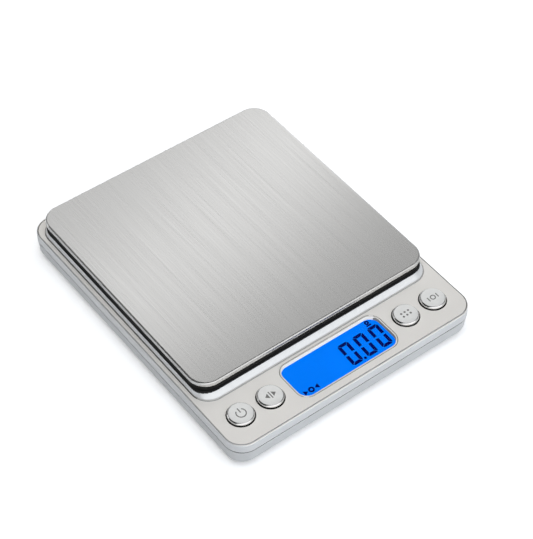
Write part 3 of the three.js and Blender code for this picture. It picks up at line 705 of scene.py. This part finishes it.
def plinth_side():
    """Growth and height up the plinth: a shallow crease, the leaning wall and a rounded top edge."""
    crease = [(0.2, 0.0), (0.1, -0.18), (-0.12, -0.26), (-0.3, -0.1), (-0.26, 0.2), (0.0, 0.45)]
    side = [(grow, PANEL_Z + rise) for grow, rise in crease]
    return side + arc((-PLINTH_EDGE, PLATEAU_Z - PLINTH_EDGE), PLINTH_EDGE, 0, 90, 12)


def top_case_shell():
    rings = [
        plinth_ring(PLATEAU_UNDER_Z, -PLINTH_CEILING_INSET),
        at_height([p[:2] for p in plinth_ring(PLATEAU_UNDER_Z, -PLINTH_CEILING_INSET)], PANEL_UNDER_Z),
        case_ring(CASE_WALL, PANEL_UNDER_Z),
        case_ring(CASE_WALL, SEAM_Z + 0.05),
    ]
    rings += top_case_side()
    rings += [plinth_ring(z, grow) for grow, z in plinth_side()]
    return skin("top_case_shell", rings)


def button_hole(x, y):
    flare = 0.22
    profile = [(BUTTON_HOLE_RADIUS, PANEL_UNDER_Z - 1), (BUTTON_HOLE_RADIUS, PANEL_Z - flare)]
    profile += arc((BUTTON_HOLE_RADIUS + flare, PANEL_Z - flare), flare, 180, 90, 4)
    profile.append((BUTTON_HOLE_RADIUS + flare, PANEL_Z + 1))
    return turned("button_hole_tool", profile, (x, y))


def window_opening():
    round_off = 0.2
    steps = [
        (0.0, PANEL_UNDER_Z - 1),
        (0.0, PANEL_Z - round_off),
        (round_off * 0.3, PANEL_Z - round_off * 0.3),
        (round_off, PANEL_Z),
        (round_off, PANEL_Z + 1),
    ]
    return skin("window_tool", [at_height(grown_outline(WINDOW, grow), z) for grow, z in steps])


def window_border():
    """The fine line pressed into the panel around the display opening."""
    bottom = PANEL_Z - BORDER_DEPTH
    line = prism("border_tool", grown_outline(WINDOW, 0.78), bottom, PANEL_Z + 1)
    return carve(line, prism("border_core", grown_outline(WINDOW, 0.5), bottom - 1, PANEL_Z + 2))


def in_window(centre, normal):
    """The walls that stand around the display."""
    inside = abs(centre.x) < WINDOW["half"] + 0.1 and abs(normal.z) < 0.6
    between = WINDOW["front"] - 0.1 < centre.y < WINDOW["back"] + 0.1
    return inside and between and PANEL_UNDER_Z < centre.z < PANEL_Z


def in_wall(centre, normal):
    """The outer walls of the upper shell, which get a lighter, cooler copy of the silver paint as
    painted light.
    """
    facing_out = centre.x * normal.x + centre.y * normal.y > 43
    return facing_out and SEAM_Z < centre.z < PANEL_Z and abs(normal.z) < 0.75


def in_plinth(centre, normal):
    """The leaning walls of the plinth, which get a lighter, more metallic copy of the silver paint as
    painted light.
    """
    return PANEL_Z + 0.05 < centre.z < PLATEAU_Z and abs(normal.z) < 0.97


def window_side(centre, normal):
    """The window's left and right walls, which get a painted shade because they get less light than the
    others.
    """
    return in_window(centre, normal) and abs(normal.x) > 0.8


def in_groove(centre, normal):
    """The bottoms of the panel's groove and of the border around the display."""
    depth = PANEL_Z - centre.z
    return normal.z > 0.9 and (abs(depth - GROOVE_DEPTH) < 0.02 or abs(depth - BORDER_DEPTH) < 0.02)


def in_crease(centre, normal):
    """The bottom of the crease at the plinth's foot."""
    depth = PANEL_Z - centre.z
    return 0.12 < depth < 0.28 and normal.z > 0.3 and centre.y > PLINTH_BASE["front"] - 0.4


def side_crease(centre, normal):
    """The crease along the left and right sides, where the wall stands steepest."""
    return in_crease(centre, normal) and centre.y > PLINTH_BASE["front"] + 5


def in_key_gap(centre):
    """The sides of the holes that the keys stand in."""
    if not PANEL_UNDER_Z - 0.1 < centre.z < PANEL_Z - 0.01:
        return False
    spans = [math.hypot(centre.x - b.x, centre.y - b.y) for b in KEY_CENTRES]
    return min(spans) < BUTTON_HOLE_RADIUS + 0.3


def under_plate(centre, normal):
    """The plinth's rounded top edge, which lies in the dark gap under the plate."""
    frontal = max(-normal.y, 0.0) / max(math.hypot(normal.x, normal.y), 0.01)
    edge = centre.z > PLATEAU_Z - PLINTH_EDGE and normal.z > 0.5 + 0.38 * frontal
    return edge and abs(centre.x) < PLATE_X


def in_seam(centre, normal):
    """The recess under the seam between the two shells."""
    return SEAM_Z - SEAM_HEIGHT - 0.02 < centre.z < SEAM_Z - 0.04 and abs(normal.z) < 0.995


def lens_seat():
    low, high = box("display_window")
    gap = 0.3
    bottom, top = PANEL_UNDER_Z - 1, PANEL_UNDER_Z + 0.4
    return block("lens_tool", low.x - gap, high.x + gap, low.y - gap, high.y + gap, bottom, top)


def boss_opening():
    """The opening that the platform's boss passes through on its way down to the load cell."""
    x = (middle("platform_screw_1").x + middle("platform_screw_2").x) / 2
    outline = rounded_outline(x - 8.5, x + 8.5, PLATE_Y - 8, PLATE_Y + 8, 2)
    return prism("boss_tool", outline, PLATEAU_UNDER_Z - 1, PLATEAU_Z + 1)


def overload_stops():
    """Posts that meet the carrier before the load cell bends too far."""
    profile = [(2.5, PLATEAU_Z - 0.5), (2.5, CASE_HIGH.z - 0.15), (2.35, CASE_HIGH.z)]
    reach = 36
    places = [(x, PLATE_Y + y) for x in (-reach, reach) for y in (-reach, reach)]
    return [turned("stop_tool", profile, place, 32) for place in places]


def screw_bosses():
    """Bosses inside the upper shell, and the pilot holes up their middles."""
    bosses, holes = [], []
    board_top = box("main_pcb")[1].z + 0.1
    for corner in CORNERS:
        centre = middle("case_screw_" + corner)
        bosses.append(rod("boss_tool", POST_RADIUS, 6.2, PLATEAU_UNDER_Z + 0.1, centre))
        holes.append(rod("pilot_tool", 1.3, 6.0, 12.4, centre, 24))
    for number in range(1, 5):
        centre = middle(f"pcb_screw_{number}")
        bosses.append(rod("boss_tool", 2.2, board_top, PANEL_UNDER_Z + 0.1, centre))
        holes.append(rod("pilot_tool", 1.0, board_top - 0.1, PANEL_UNDER_Z - 0.6, centre, 24))
    return bosses, holes


def locating_lip():
    """The tongue that drops inside the lower shell, left out in front where the display sits."""
    low = CASE_LOW.z
    lip = skin("lip_tool", [case_ring(LIP_OUTSIDE, z) for z in (low, PANEL_UNDER_Z + 0.2)])
    core = skin("lip_core", [case_ring(LIP_INSIDE, z) for z in (low - 1, PANEL_UNDER_Z + 0.4)])
    return carve(lip, core, block("lip_gap", -27, 27, -CASE_Y - 1, -50, low - 1, PANEL_UNDER_Z))


def top_case():
    shell = top_case_shell()
    bosses, holes = screw_bosses()
    unite(shell, locating_lip(), *bosses, *overload_stops())
    openings = [button_hole(b.x, b.y) for b in KEY_CENTRES]
    carve(shell, *holes, *openings, window_opening(), window_border(), lens_seat(), boss_opening())
    soften(shell, sharp_angle=28)
    dress(shell, PANEL_PAINT, "case", "top_case")
    # Painted light: the outer walls get the lighter, cooler copy of the silver paint.
    extra_finish(shell, LIT_WALL_PAINT, in_wall)
    # Painted light: the plinth walls get the lighter, more metallic copy of the silver paint.
    extra_finish(shell, LIT_PLINTH_PAINT, in_plinth)
    # Painted glow on the white walls around the display.
    extra_finish(shell, WINDOW_WHITE_GLOW, in_window)
    # Painted shade on the window's left and right walls.
    extra_finish(shell, WINDOW_SIDE_SHADE, window_side)
    extra_finish(shell, CREASE_SHADE, in_crease)
    extra_finish(shell, GROOVE_SHADOW, lambda c, n: in_groove(c, n) or side_crease(c, n))
    extra_finish(shell, GAP_SHADOW, lambda c, n: in_key_gap(c) or under_plate(c, n))


def tray_side():
    """Inset and height up the lower shell: a round heel, a near-upright wall and the seam's recess."""
    heel_top = 4.4
    rise = heel_top - BASE_Z
    seam_low = SEAM_Z - SEAM_HEIGHT
    side = []
    for inward, up in quarter_round(10):
        side.append((0.5 + 2.7 * (1 - up) ** 1.15, heel_top - rise * (1 - inward)))
    side += [(0.1, seam_low - 0.12), (0.22, seam_low), (SEAM_DEPTH, seam_low + 0.05)]
    return side + [(SEAM_DEPTH + 0.05, SEAM_Z - 0.05)]


def bottom_case_shell():
    rings = [case_ring(inset, z) for inset, z in tray_side()]
    rings += [case_ring(TRAY_WALL, SEAM_Z - 0.05), case_ring(TRAY_WALL, FLOOR_TOP_Z)]
    return skin("bottom_case_shell", rings)


def tray_additions():
    cell_bottom = box("load_cell")[0].z
    bottom = FLOOR_TOP_Z - 0.1
    posts = [rod("post", POST_RADIUS, bottom, 6.0, middle("case_screw_" + c)) for c in CORNERS]
    return [
        block("pedestal", -23.5, -10, PLATE_Y - 6, PLATE_Y + 6, bottom, cell_bottom - 0.1),
        block("well_wall", *WELL_WALL, bottom, box("bottom_case")[1].z),
        *posts,
    ]


def countersunk(node, shank, head, depth, top):
    """The hole for a screw from below: a round recess for its head and a bore for its shank."""
    step_z = BASE_Z + depth
    profile = [(head + 0.25, -1), (head + 0.25, BASE_Z), (head, BASE_Z + 0.25)]
    profile += [(head, step_z), (shank, step_z), (shank, top)]
    return turned("countersink", profile, middle(node), 40)


def door_rebate():
    """The opening for the battery door, with the pockets that its two front tabs turn in."""
    low, high = box("battery_door")
    joint = next(joint for joint in frame["joints"] if joint["name"] == "door_hinge")
    hinge_y = joint["pos_m"][1] / MM
    gap = 0.3
    front, top = hinge_y - 0.05, high.z + 0.15
    tools = [block("rebate", low.x - gap, high.x + gap, front, high.y + gap, -1, top)]
    for x in (-15, 15):
        front, back = hinge_y - 1.5, hinge_y + 2
        tools.append(block("pocket", x - 3.4, x + 3.4, front, back, BASE_Z + 0.4, BASE_Z + 2.1))
    return tools


def battery_space():
    """The well's inside, open above, and the notches where the two leads leave."""
    tools = [block("well", *BATTERY_WELL, -1, 14)]
    for number in (1, 2):
        y = middle(f"battery_{number}").y
        tools.append(block("notch", -28, -24, y - 1.2, y + 1.2, 9.6, 14))
    return tools


def thumb_notch():
    door_back = box("battery_door")[1].y
    profile = [(6.6, -1), (6.6, BASE_Z - 0.01), (6.0, BASE_Z + 0.45), (5.4, BASE_Z + 0.9)]
    return turned("thumb_notch", profile, (0, door_back + 2.0), 48)


def foot_recesses():
    profile = [(5.35, -1), (5.35, BASE_Z), (5.2, BASE_Z + 0.15), (5.2, BASE_Z + 0.7)]
    return [turned("foot_recess", profile, middle("foot_" + corner), 48) for corner in CORNERS]


def bottom_case():
    shell = unite(bottom_case_shell(), *tray_additions())
    tools = battery_space() + door_rebate() + [thumb_notch()] + foot_recesses()
    for number in (1, 2):
        tools.append(countersunk(f"cell_screw_{number}", 1.7, 2.65, 2.1, 6))
    for corner in CORNERS:
        tools.append(countersunk("case_screw_" + corner, 1.4, 2.6, 2.4, 6.5))
    carve(shell, *tools)
    soften(shell, sharp_angle=28)
    dress(shell, TRAY_PAINT, "case", "bottom_case")
    extra_finish(shell, GROOVE_SHADOW, in_seam)


def foot(corner):
    """A rubber foot: rounded shoulder, flat pad and one shallow ring in it."""
    node = "foot_" + corner
    low, high = box(node)
    radius = (high.x - low.x) / 2
    edge = 0.5
    profile = [(radius, high.z), (radius, low.z + edge)]
    profile += arc((radius - edge, low.z + edge), edge, 0, -90, 6)
    profile += [(3.1, low.z), (3.0, low.z + 0.25), (2.5, low.z + 0.25), (2.4, low.z)]
    piece = turned(node + "_rubber", profile, middle(node), 48)
    soften(piece, sharp_angle=35)
    dress(piece, RUBBER, "case", node)


# ---- screws

THREAD_PITCH = 0.9
RINGS_PER_TURN = 6
SHANK_STEPS = 24


def threaded_shank(radius, tip_z, head_z):
    """Rings that follow a single-start thread, from the tip down to the head."""
    depth = radius * 0.16
    count = int(abs(tip_z - head_z) / THREAD_PITCH * RINGS_PER_TURN)
    rings = []
    for j in range(count + 1):
        share = j / count
        z = tip_z + (head_z - tip_z) * share
        taper = min(1.0, 0.45 + share * 5)
        ring = []
        for i in range(SHANK_STEPS):
            angle = 2 * math.pi * i / SHANK_STEPS
            phase = (abs(z - head_z) / THREAD_PITCH - i / SHANK_STEPS) % 1.0
            r = (radius - depth * (1 - abs(2 * phase - 1)) * min(1.0, (1 - share) * 8)) * taper
            ring.append((r * math.cos(angle), r * math.sin(angle), z))
        rings.append(ring)
    return rings


def screw(node, body, head_radius, head_height, shank_radius, flipped=False):
    """A pan-head screw with a thread and a cross recess, head down unless flipped."""
    low, high = box(node)
    centre = middle(node)
    rings = threaded_shank(shank_radius, high.z - low.z, head_height)
    head = ((1.0, 1.0), (1.0, 0.62), (0.97, 0.42), (0.86, 0.18), (0.68, 0.04), (0.55, 0.0))
    rings += [circle(head_radius * across, head_height * up, steps=SHANK_STEPS) for across, up in head]
    piece = skin(node + "_cross_head", rings[::-1])
    reach = head_radius * 0.52
    width = head_radius * 0.13
    depth = head_height * 0.55
    bars = [block("slot", -u, u, -v, v, -1, depth) for u, v in ((reach, width), (width, reach))]
    carve(piece, *bars)
    if flipped:
        piece.data.transform(Matrix.Rotation(math.pi, 4, "X"))
    start = high.z if flipped else low.z
    piece.data.transform(Matrix.Translation(Vector((centre.x, centre.y, start)) * MM))
    soften(piece, sharp_angle=32)
    dress(piece, SCREW_STEEL, body, node)


def screws():
    for corner in CORNERS:
        screw("case_screw_" + corner, "case", 2.3, 1.4, 1.15)
    for number in (1, 2):
        screw(f"cell_screw_{number}", "case", 2.5, 1.6, 1.45)
        screw(f"platform_screw_{number}", "platform", 2.5, 1.5, 1.45, flipped=True)
    for number in range(1, 5):
        screw(f"pcb_screw_{number}", "case", 1.8, 1.0, 0.85)


# ---- push buttons

GLYPH_DEPTH = 0.12
GLYPH_SINK = 0.05
GLYPH_LINE = 0.42


def button_cap(name):
    """A cap with a retaining flange, a broad polished bevel and a nearly flat crown."""
    node = "button_" + name
    low, high = box(node)
    flange = (high.x - low.x) / 2
    side = flange - BUTTON_FLANGE
    bevel_width = 0.8
    bevel_height = 0.75
    crown_edge = high.z - 0.08
    profile = [(flange, low.z), (flange, low.z + 0.6), (side, low.z + 0.7)]
    for inward, up in quarter_round(8):
        profile.append((side - bevel_width * inward, crown_edge - bevel_height * (1 - up)))
    profile += [(side - bevel_width - 0.5, high.z - 0.02), (side - bevel_width - 1.1, high.z)]
    return turned(node + "_cap", profile, middle(node))


def stroke(points, width):
    """Corner points of a line of even width through points."""
    left, right = [], []
    for i, point in enumerate(points):
        before = Vector(points[max(i - 1, 0)])
        after = Vector(points[min(i + 1, len(points) - 1)])
        along = (after - before).normalized()
        across = Vector((-along.y, along.x)) * width / 2
        left.append(Vector(point) + across)
        right.append(Vector(point) - across)
    return [tuple(p) for p in right + left[::-1]]


def ring_strokes(centre, radius, width):
    """A ring as two half strokes that overlap a little."""
    overlap = 4
    halves = [arc(centre, radius, start - overlap, start + 180, 14) for start in (0, 180)]
    return [stroke(half, width) for half in halves]


def glyph_outlines(name):
    """Plain signs for the four keys, in millimetres about the key's centre."""
    line = GLYPH_LINE
    if name == "power":
        bar = stroke([(0, 0.1), (0, 2.15)], line)
        return [stroke(arc((0, -0.15), 1.75, 126, 414, 20), line), bar]
    if name == "mode":
        bar = stroke([(0, -1.5), (0, 1.5)], line)
        left = [(-2.2, 0), (-0.75, -1.15), (-0.75, 1.15)]
        right = [(2.2, 0), (0.75, 1.15), (0.75, -1.15)]
        return [left, bar, right]
    if name == "count":
        dots = []
        for x in (-1.55, 0, 1.55):
            for y in (-0.75, 0.75):
                dots.append(arc((x, y), 0.42, 0, 345, 15))
        return dots
    left = stroke([(-1.9, -0.95), (-1.9, 0.95)], line)
    right = stroke([(1.9, -0.95), (1.9, 0.95)], line)
    return ring_strokes((0, 0), 0.9, line) + [left, right]


def glyph_solids(name, label, bottom, top):
    centre = middle("button_" + name)
    solids = []
    for outline in glyph_outlines(name):
        moved = [(centre.x + x, centre.y + y) for x, y in outline]
        solids.append(prism(label, moved, bottom, top))
    return solids


def push_button(name):
    """One key: the cap with its sign engraved, and grey ink lying in the engraving."""
    cap = button_cap(name)
    crown = box("button_" + name)[1].z
    carve(cap, *glyph_solids(name, "glyph_tool", crown - GLYPH_DEPTH, crown + 0.5))
    soften(cap)
    dress(cap, PLATING, name + "_key", "button_" + name)
    extra_finish(cap, CROWN, lambda centre, normal: normal.z > 0.9 and centre.z > crown - 0.2)
    parts = glyph_solids(name, "glyph_" + name, crown - GLYPH_DEPTH, crown - GLYPH_SINK)
    ink = unite(parts[0], *parts[1:])
    ink.name = "glyph_" + name
    soften(ink)
    dress(ink, GLYPH_INK, name + "_key", None)


def tact_switch(name):
    refine("switch_body_" + name, EPOXY, 0.15)
    refine("switch_plunger_" + name, EPOXY, 0.06, name + "_key")


# ---- display

DIGIT_HEIGHT = 10.1
DIGIT_WIDTH = 4.6
DIGIT_PITCH = 6.63
DIGIT_LEAN = 0.05
SEGMENT_WIDTH = 1.25
SEGMENT_CUT = 0.7
SEGMENT_GAP = 0.12
SEGMENT_BREAK = 0.75
FIRST_DIGIT = (2.35, -56.65)


def zero_digit(corner):
    """The six outer bars of a seven-segment nought: mitred corners and a break halfway up."""
    x, y = corner
    near, far = (SEGMENT_CUT - SEGMENT_GAP) / 2, (SEGMENT_CUT + SEGMENT_GAP) / 2
    inner = SEGMENT_WIDTH + SEGMENT_GAP
    middle_low = DIGIT_HEIGHT / 2 + SEGMENT_BREAK / 2
    upright = [
        (0, middle_low),
        (0, DIGIT_HEIGHT - SEGMENT_CUT),
        (near, DIGIT_HEIGHT - far),
        (SEGMENT_WIDTH, DIGIT_HEIGHT - inner),
        (SEGMENT_WIDTH, middle_low + 0.12),
    ]
    level = [(SEGMENT_CUT, DIGIT_HEIGHT), (far, DIGIT_HEIGHT - near)]
    level.append((inner, DIGIT_HEIGHT - SEGMENT_WIDTH))
    level += [(DIGIT_WIDTH - u, v) for u, v in level[::-1]]
    shapes = []
    for bar in (upright, [(DIGIT_WIDTH - u, v) for u, v in upright[::-1]], level):
        for half in (bar, [(u, DIGIT_HEIGHT - v) for u, v in bar[::-1]]):
            shapes.append([(x + u + v * DIGIT_LEAN, y + v) for u, v in half])
    return shapes


def display_marks():
    """Outlines of all the switched-on marks: three noughts, the point and two small signs."""
    x, y = FIRST_DIGIT
    shapes = []
    for place in range(3):
        shapes += zero_digit((x + place * DIGIT_PITCH, y))
    shapes.append(arc((x + 5.5, y + 0.45), 0.55, 0, 337.5, 15))
    unit = (x + 15.75, y + 12.3)
    shapes += ring_strokes(unit, 0.6, 0.65)
    shapes.append(stroke([(unit[0] - 1.0, unit[1] - 1.3), (unit[0] + 1.0, unit[1] - 1.3)], 0.65))
    zero = (-15.6, y + 0.8)
    shapes += ring_strokes(zero, 0.85, 0.65)
    for side in (-1, 1):
        inner = zero[0] + side * 1.5
        outer = zero[0] + side * 3.1
        points = [(inner, zero[1]), (outer, zero[1] - 1.05 * side), (outer, zero[1] + 1.05 * side)]
        shapes.append(points)
    return shapes


def display():
    refine("display_window", ACRYLIC, 0.1)
    refine("lcd_glass", DISPLAY, 0.05)
    face = box("lcd_glass")[1].z
    parts = [prism("mark", shape, face - 0.02, face + 0.05) for shape in display_marks()]
    marks = unite(parts[0], *parts[1:])
    marks.name = "display_marks"
    soften(marks)
    dress(marks, SEGMENT, "case", None)


# ---- electronics, sensor and cells


def plain_insides():
    for node in ("lcd_backlight", "lcd_holder"):
        refine(node, WHITE_ABS, 0.1)
    refine("zebra_strip", RUBBER, 0.1)
    refine("main_pcb", BOARD, 0.05)
    refine("chip_blob", EPOXY, 0.0)
    refine("crystal", NICKEL, 0.25)
    refine("capacitor", EPOXY, 0.1)
    for node in ("contact_tab_negative", "contact_tab_positive", "contact_bridge"):
        refine(node, NICKEL, 0.08)


def bending_piece(node, material, bevel):
    """A piece of the load cell, cut across at several places between its fixed end and the end the
    platform hangs on.
    """
    piece = from_cad(node)
    bend = 6
    with editing(piece.data) as shape:
        for x in (-bend, -4.2, -2, 0, 2, 4.2, bend):
            parts = shape.verts[:] + shape.edges[:] + shape.faces[:]
            bmesh.ops.bisect_plane(shape, geom=parts, plane_co=(x * MM, 0, 0), plane_no=(1, 0, 0))
    soften(piece, bevel=bevel)
    piece.data.materials.append(material)
    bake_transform(piece)
    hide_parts(node)


def sensor():
    bending_piece("load_cell", ALUMINIUM, 0.12)
    for side in ("top", "bottom"):
        bending_piece("gauge_coating_" + side, SEALANT, 0.0)


def round_wire(node, material):
    """A CAD wire with its flat sides rounded."""
    piece = from_cad(node, flat_angle=0.01)
    round_off = piece.modifiers.new("round", "SUBSURF")
    round_off.levels = 1
    round_off.render_levels = 1
    apply_modifiers(piece)
    piece.data.shade_smooth()
    dress(piece, material, "case", node)


def wiring():
    colours = {
        "red": (0.45, 0.02, 0.015),
        "black": (0.012, 0.012, 0.012),
        "white": (0.78, 0.78, 0.75),
        "green": (0.02, 0.22, 0.06),
    }
    covers = {name: wire_cover("wire_" + name, colour) for name, colour in colours.items()}
    for name, cover in covers.items():
        round_wire("sensor_wire_" + name, cover)
    round_wire("battery_wire_negative", covers["black"])
    round_wire("battery_wire_positive", covers["red"])
    for number in (1, 2):
        round_wire(f"spring_contact_{number}", NICKEL)


def battery(number):
    """An AAA cell in plain shrink film: crimped ends, a positive nub and a flat base."""
    node = f"battery_{number}"
    low, high = box(node)
    centre = middle(node)
    radius = (high.z - low.z) / 2
    length = high.x - low.x
    can = length - 0.8
    neck = radius - 0.12
    profile = [(radius - 1.0, 0.0), (radius - 0.8, 0.12), (radius - 0.35, 0.12)]
    profile += arc((radius - 0.35, 0.47), 0.35, -90, 0, 5)
    profile += [(radius, can - 1.6), (neck, can - 1.3), (neck, can - 1.0), (radius, can - 0.7)]
    profile += arc((radius - 0.4, can - 0.4), 0.4, 0, 90, 5)
    profile += [(radius - 1.0, can - 0.15), (2.3, can - 0.15), (1.95, can)]
    profile += [(1.9, length - 0.25), (1.65, length)]
    cell = turned(node + "_can", profile, steps=56)
    base, tip, towards = (low.x, high.x, 1) if number == 1 else (high.x, low.x, -1)
    lying = Matrix.Rotation(towards * math.pi / 2, 4, "Y")
    cell.data.transform(Matrix.Translation(Vector((base, centre.y, centre.z)) * MM) @ lying)
    soften(cell, sharp_angle=35)
    dress(cell, battery_wrap(tip, base), "case", node)


# ---- studio

VIEW_AZIMUTH = -38.345
VIEW_ELEVATION = 48.32
VIEW_ROLL = 1.163
VIEW_DISTANCE = 624.56
VIEW_LENS = 118.41
LOOK_AT = (0.248, -9.923, PLATE_HIGH.z)


def camera():
    azimuth, elevation, roll = map(math.radians, (VIEW_AZIMUTH, VIEW_ELEVATION, VIEW_ROLL))
    aim = Matrix.Rotation(azimuth, 4, "Z") @ Matrix.Rotation(math.pi / 2 - elevation, 4, "X")
    away = aim.to_3x3() @ Vector((0, 0, VIEW_DISTANCE))
    lens = bpy.data.cameras.new("camera")
    lens.lens = VIEW_LENS
    lens.sensor_width = 36
    lens.clip_start = 0.01
    viewer = add_object("camera", lens)
    place = Matrix.Translation((Vector(LOOK_AT) + away) * MM)
    viewer.matrix_world = place @ aim @ Matrix.Rotation(roll, 4, "Z")
    bpy.context.scene.camera = viewer


def floor():
    half = 3000
    outline = ((half, half), (-half, half), (-half, -half), (half, -half))
    mesh = bpy.data.meshes.new("floor")
    mesh.from_pydata([(x * MM, y * MM, 0) for x, y in outline], [], [(0, 1, 2, 3)])
    mesh.materials.append(floor_material())
    add_object("floor", mesh)


UNDERSIDE_GLOW = 0.22
FLOOR_SEEN = 0.8
FLOOR_GLOW = 0.34
FLOOR_ELSEWHERE = 0.75
TENT_BRIGHTNESS = 0.38
TENT_LEAN = (0.9, -1.4, 0.0)
OVERHEAD_TOWARDS = (-0.10, -0.03, 0.99)
OVERHEAD_TIGHTNESS = 20.0
OVERHEAD_BRIGHTNESS = 7.2


class Sky(Nodes):
    """The studio around the object, as brightness by direction."""

    def __init__(self, name):
        super().__init__(bpy.data.worlds.new(name), "World Output")
        self.direction = self.node("TexCoord").outputs["Generated"]
        self.x, self.y, self.z = self.node("SeparateXYZ", {0: self.direction}).outputs

    def times(self, a, b):
        return self.math("MULTIPLY", a, b)

    def most(self, a, b):
        return self.math("MAXIMUM", a, b)

    def size(self, value):
        return self.math("ABSOLUTE", value)

    def along(self, axis):
        """How far the direction points along an axis."""
        dot = self.node("VectorMath", {0: self.direction, 1: axis}, operation="DOT_PRODUCT")
        return dot.outputs["Value"]

    def ramp(self, value, start, end, low=0.0, high=1.0):
        """Low before start, high after end, with a smooth step between."""
        return self.span(value, low, high, start, end, "SMOOTHSTEP")

    def background(self, tint, strength):
        return self.node("Background", {"Color": tint, "Strength": strength})


def mirrored_glow(sky):
    """What polished faces see: a white card in front, a strip softbox behind, black to the left."""
    forward = sky.times(sky.y, -1.0)
    leftward = sky.times(sky.x, -1.0)
    card = sky.times(sky.ramp(forward, 0.25, 0.5, 0.0, 1.15), sky.ramp(sky.x, 0.54, 0.67, 1.0, 0.5))
    strip = sky.ramp(sky.size(sky.math("SUBTRACT", sky.y, 0.55)), 0.0, 0.06, 0.50, 0.0)
    rear = sky.math("ADD", sky.ramp(sky.y, 0.44, 0.60, 0.50, 0.86), strip)
    rear = sky.times(rear, sky.ramp(sky.y, 0.2, 0.42, 0.35, 1.0))
    rear_left = sky.times(sky.ramp(sky.y, 0.6, 0.66), sky.ramp(leftward, 0.3, 0.45))
    open_side = sky.most(sky.ramp(sky.x, 0.0, 0.22), rear_left)
    rear = sky.times(rear, sky.most(open_side, 0.07))
    ends = sky.most(sky.ramp(sky.size(sky.x), 0.88, 0.95), sky.ramp(sky.y, 0.93, 0.98))
    horizon = sky.times(ends, sky.ramp(sky.z, 0.09, 0.2, 0.6, 0.0))
    return sky.most(sky.most(card, rear), horizon)


def surrounding_glow(sky):
    """What matt faces see: a broad softbox overhead in an even tent that is brighter in front."""
    overhead = sky.math("POWER", sky.most(sky.along(OVERHEAD_TOWARDS), 0.0), OVERHEAD_TIGHTNESS)
    tent = sky.most(sky.math("ADD", sky.along(TENT_LEAN), 1.0), 0.0)
    return sky.math("ADD", sky.times(overhead, OVERHEAD_BRIGHTNESS), sky.times(tent, TENT_BRIGHTNESS))


def studio_light():
    """A white tent; its cards are seen by polished faces only, as with flags set close by."""
    sky = Sky("studio")
    tint = sky.mix(sky.ramp(sky.y, -0.5, 0.4), (0.93, 0.985, 1.045), (1.025, 1.0, 0.96))
    mirrored = sky.background((1.0, 1.0, 0.995, 1), mirrored_glow(sky))
    around = sky.background(tint, surrounding_glow(sky))
    lit = sky.choose(sky.ray("Glossy"), around, mirrored)
    bpy.context.scene.world = sky.show(sky.choose(sky.ray("Camera"), lit, sky.background(WHITE, 1.0)))


def picture_settings():
    view = bpy.context.scene.view_settings
    view.view_transform = "Standard"
    view.look = "None"
    view.exposure = 0.0
    view.gamma = 1.0


# ---- assembly

weighing_plate()
platform_parts()
top_case()
bottom_case()
refine("battery_door", TRAY_PAINT, 0.12, "door")
for corner_name in CORNERS:
    foot(corner_name)
screws()
for key_name in BUTTONS:
    push_button(key_name)
    tact_switch(key_name)
display()
plain_insides()
sensor()
wiring()
battery(1)
battery(2)

floor()
studio_light()
camera()
picture_settings()
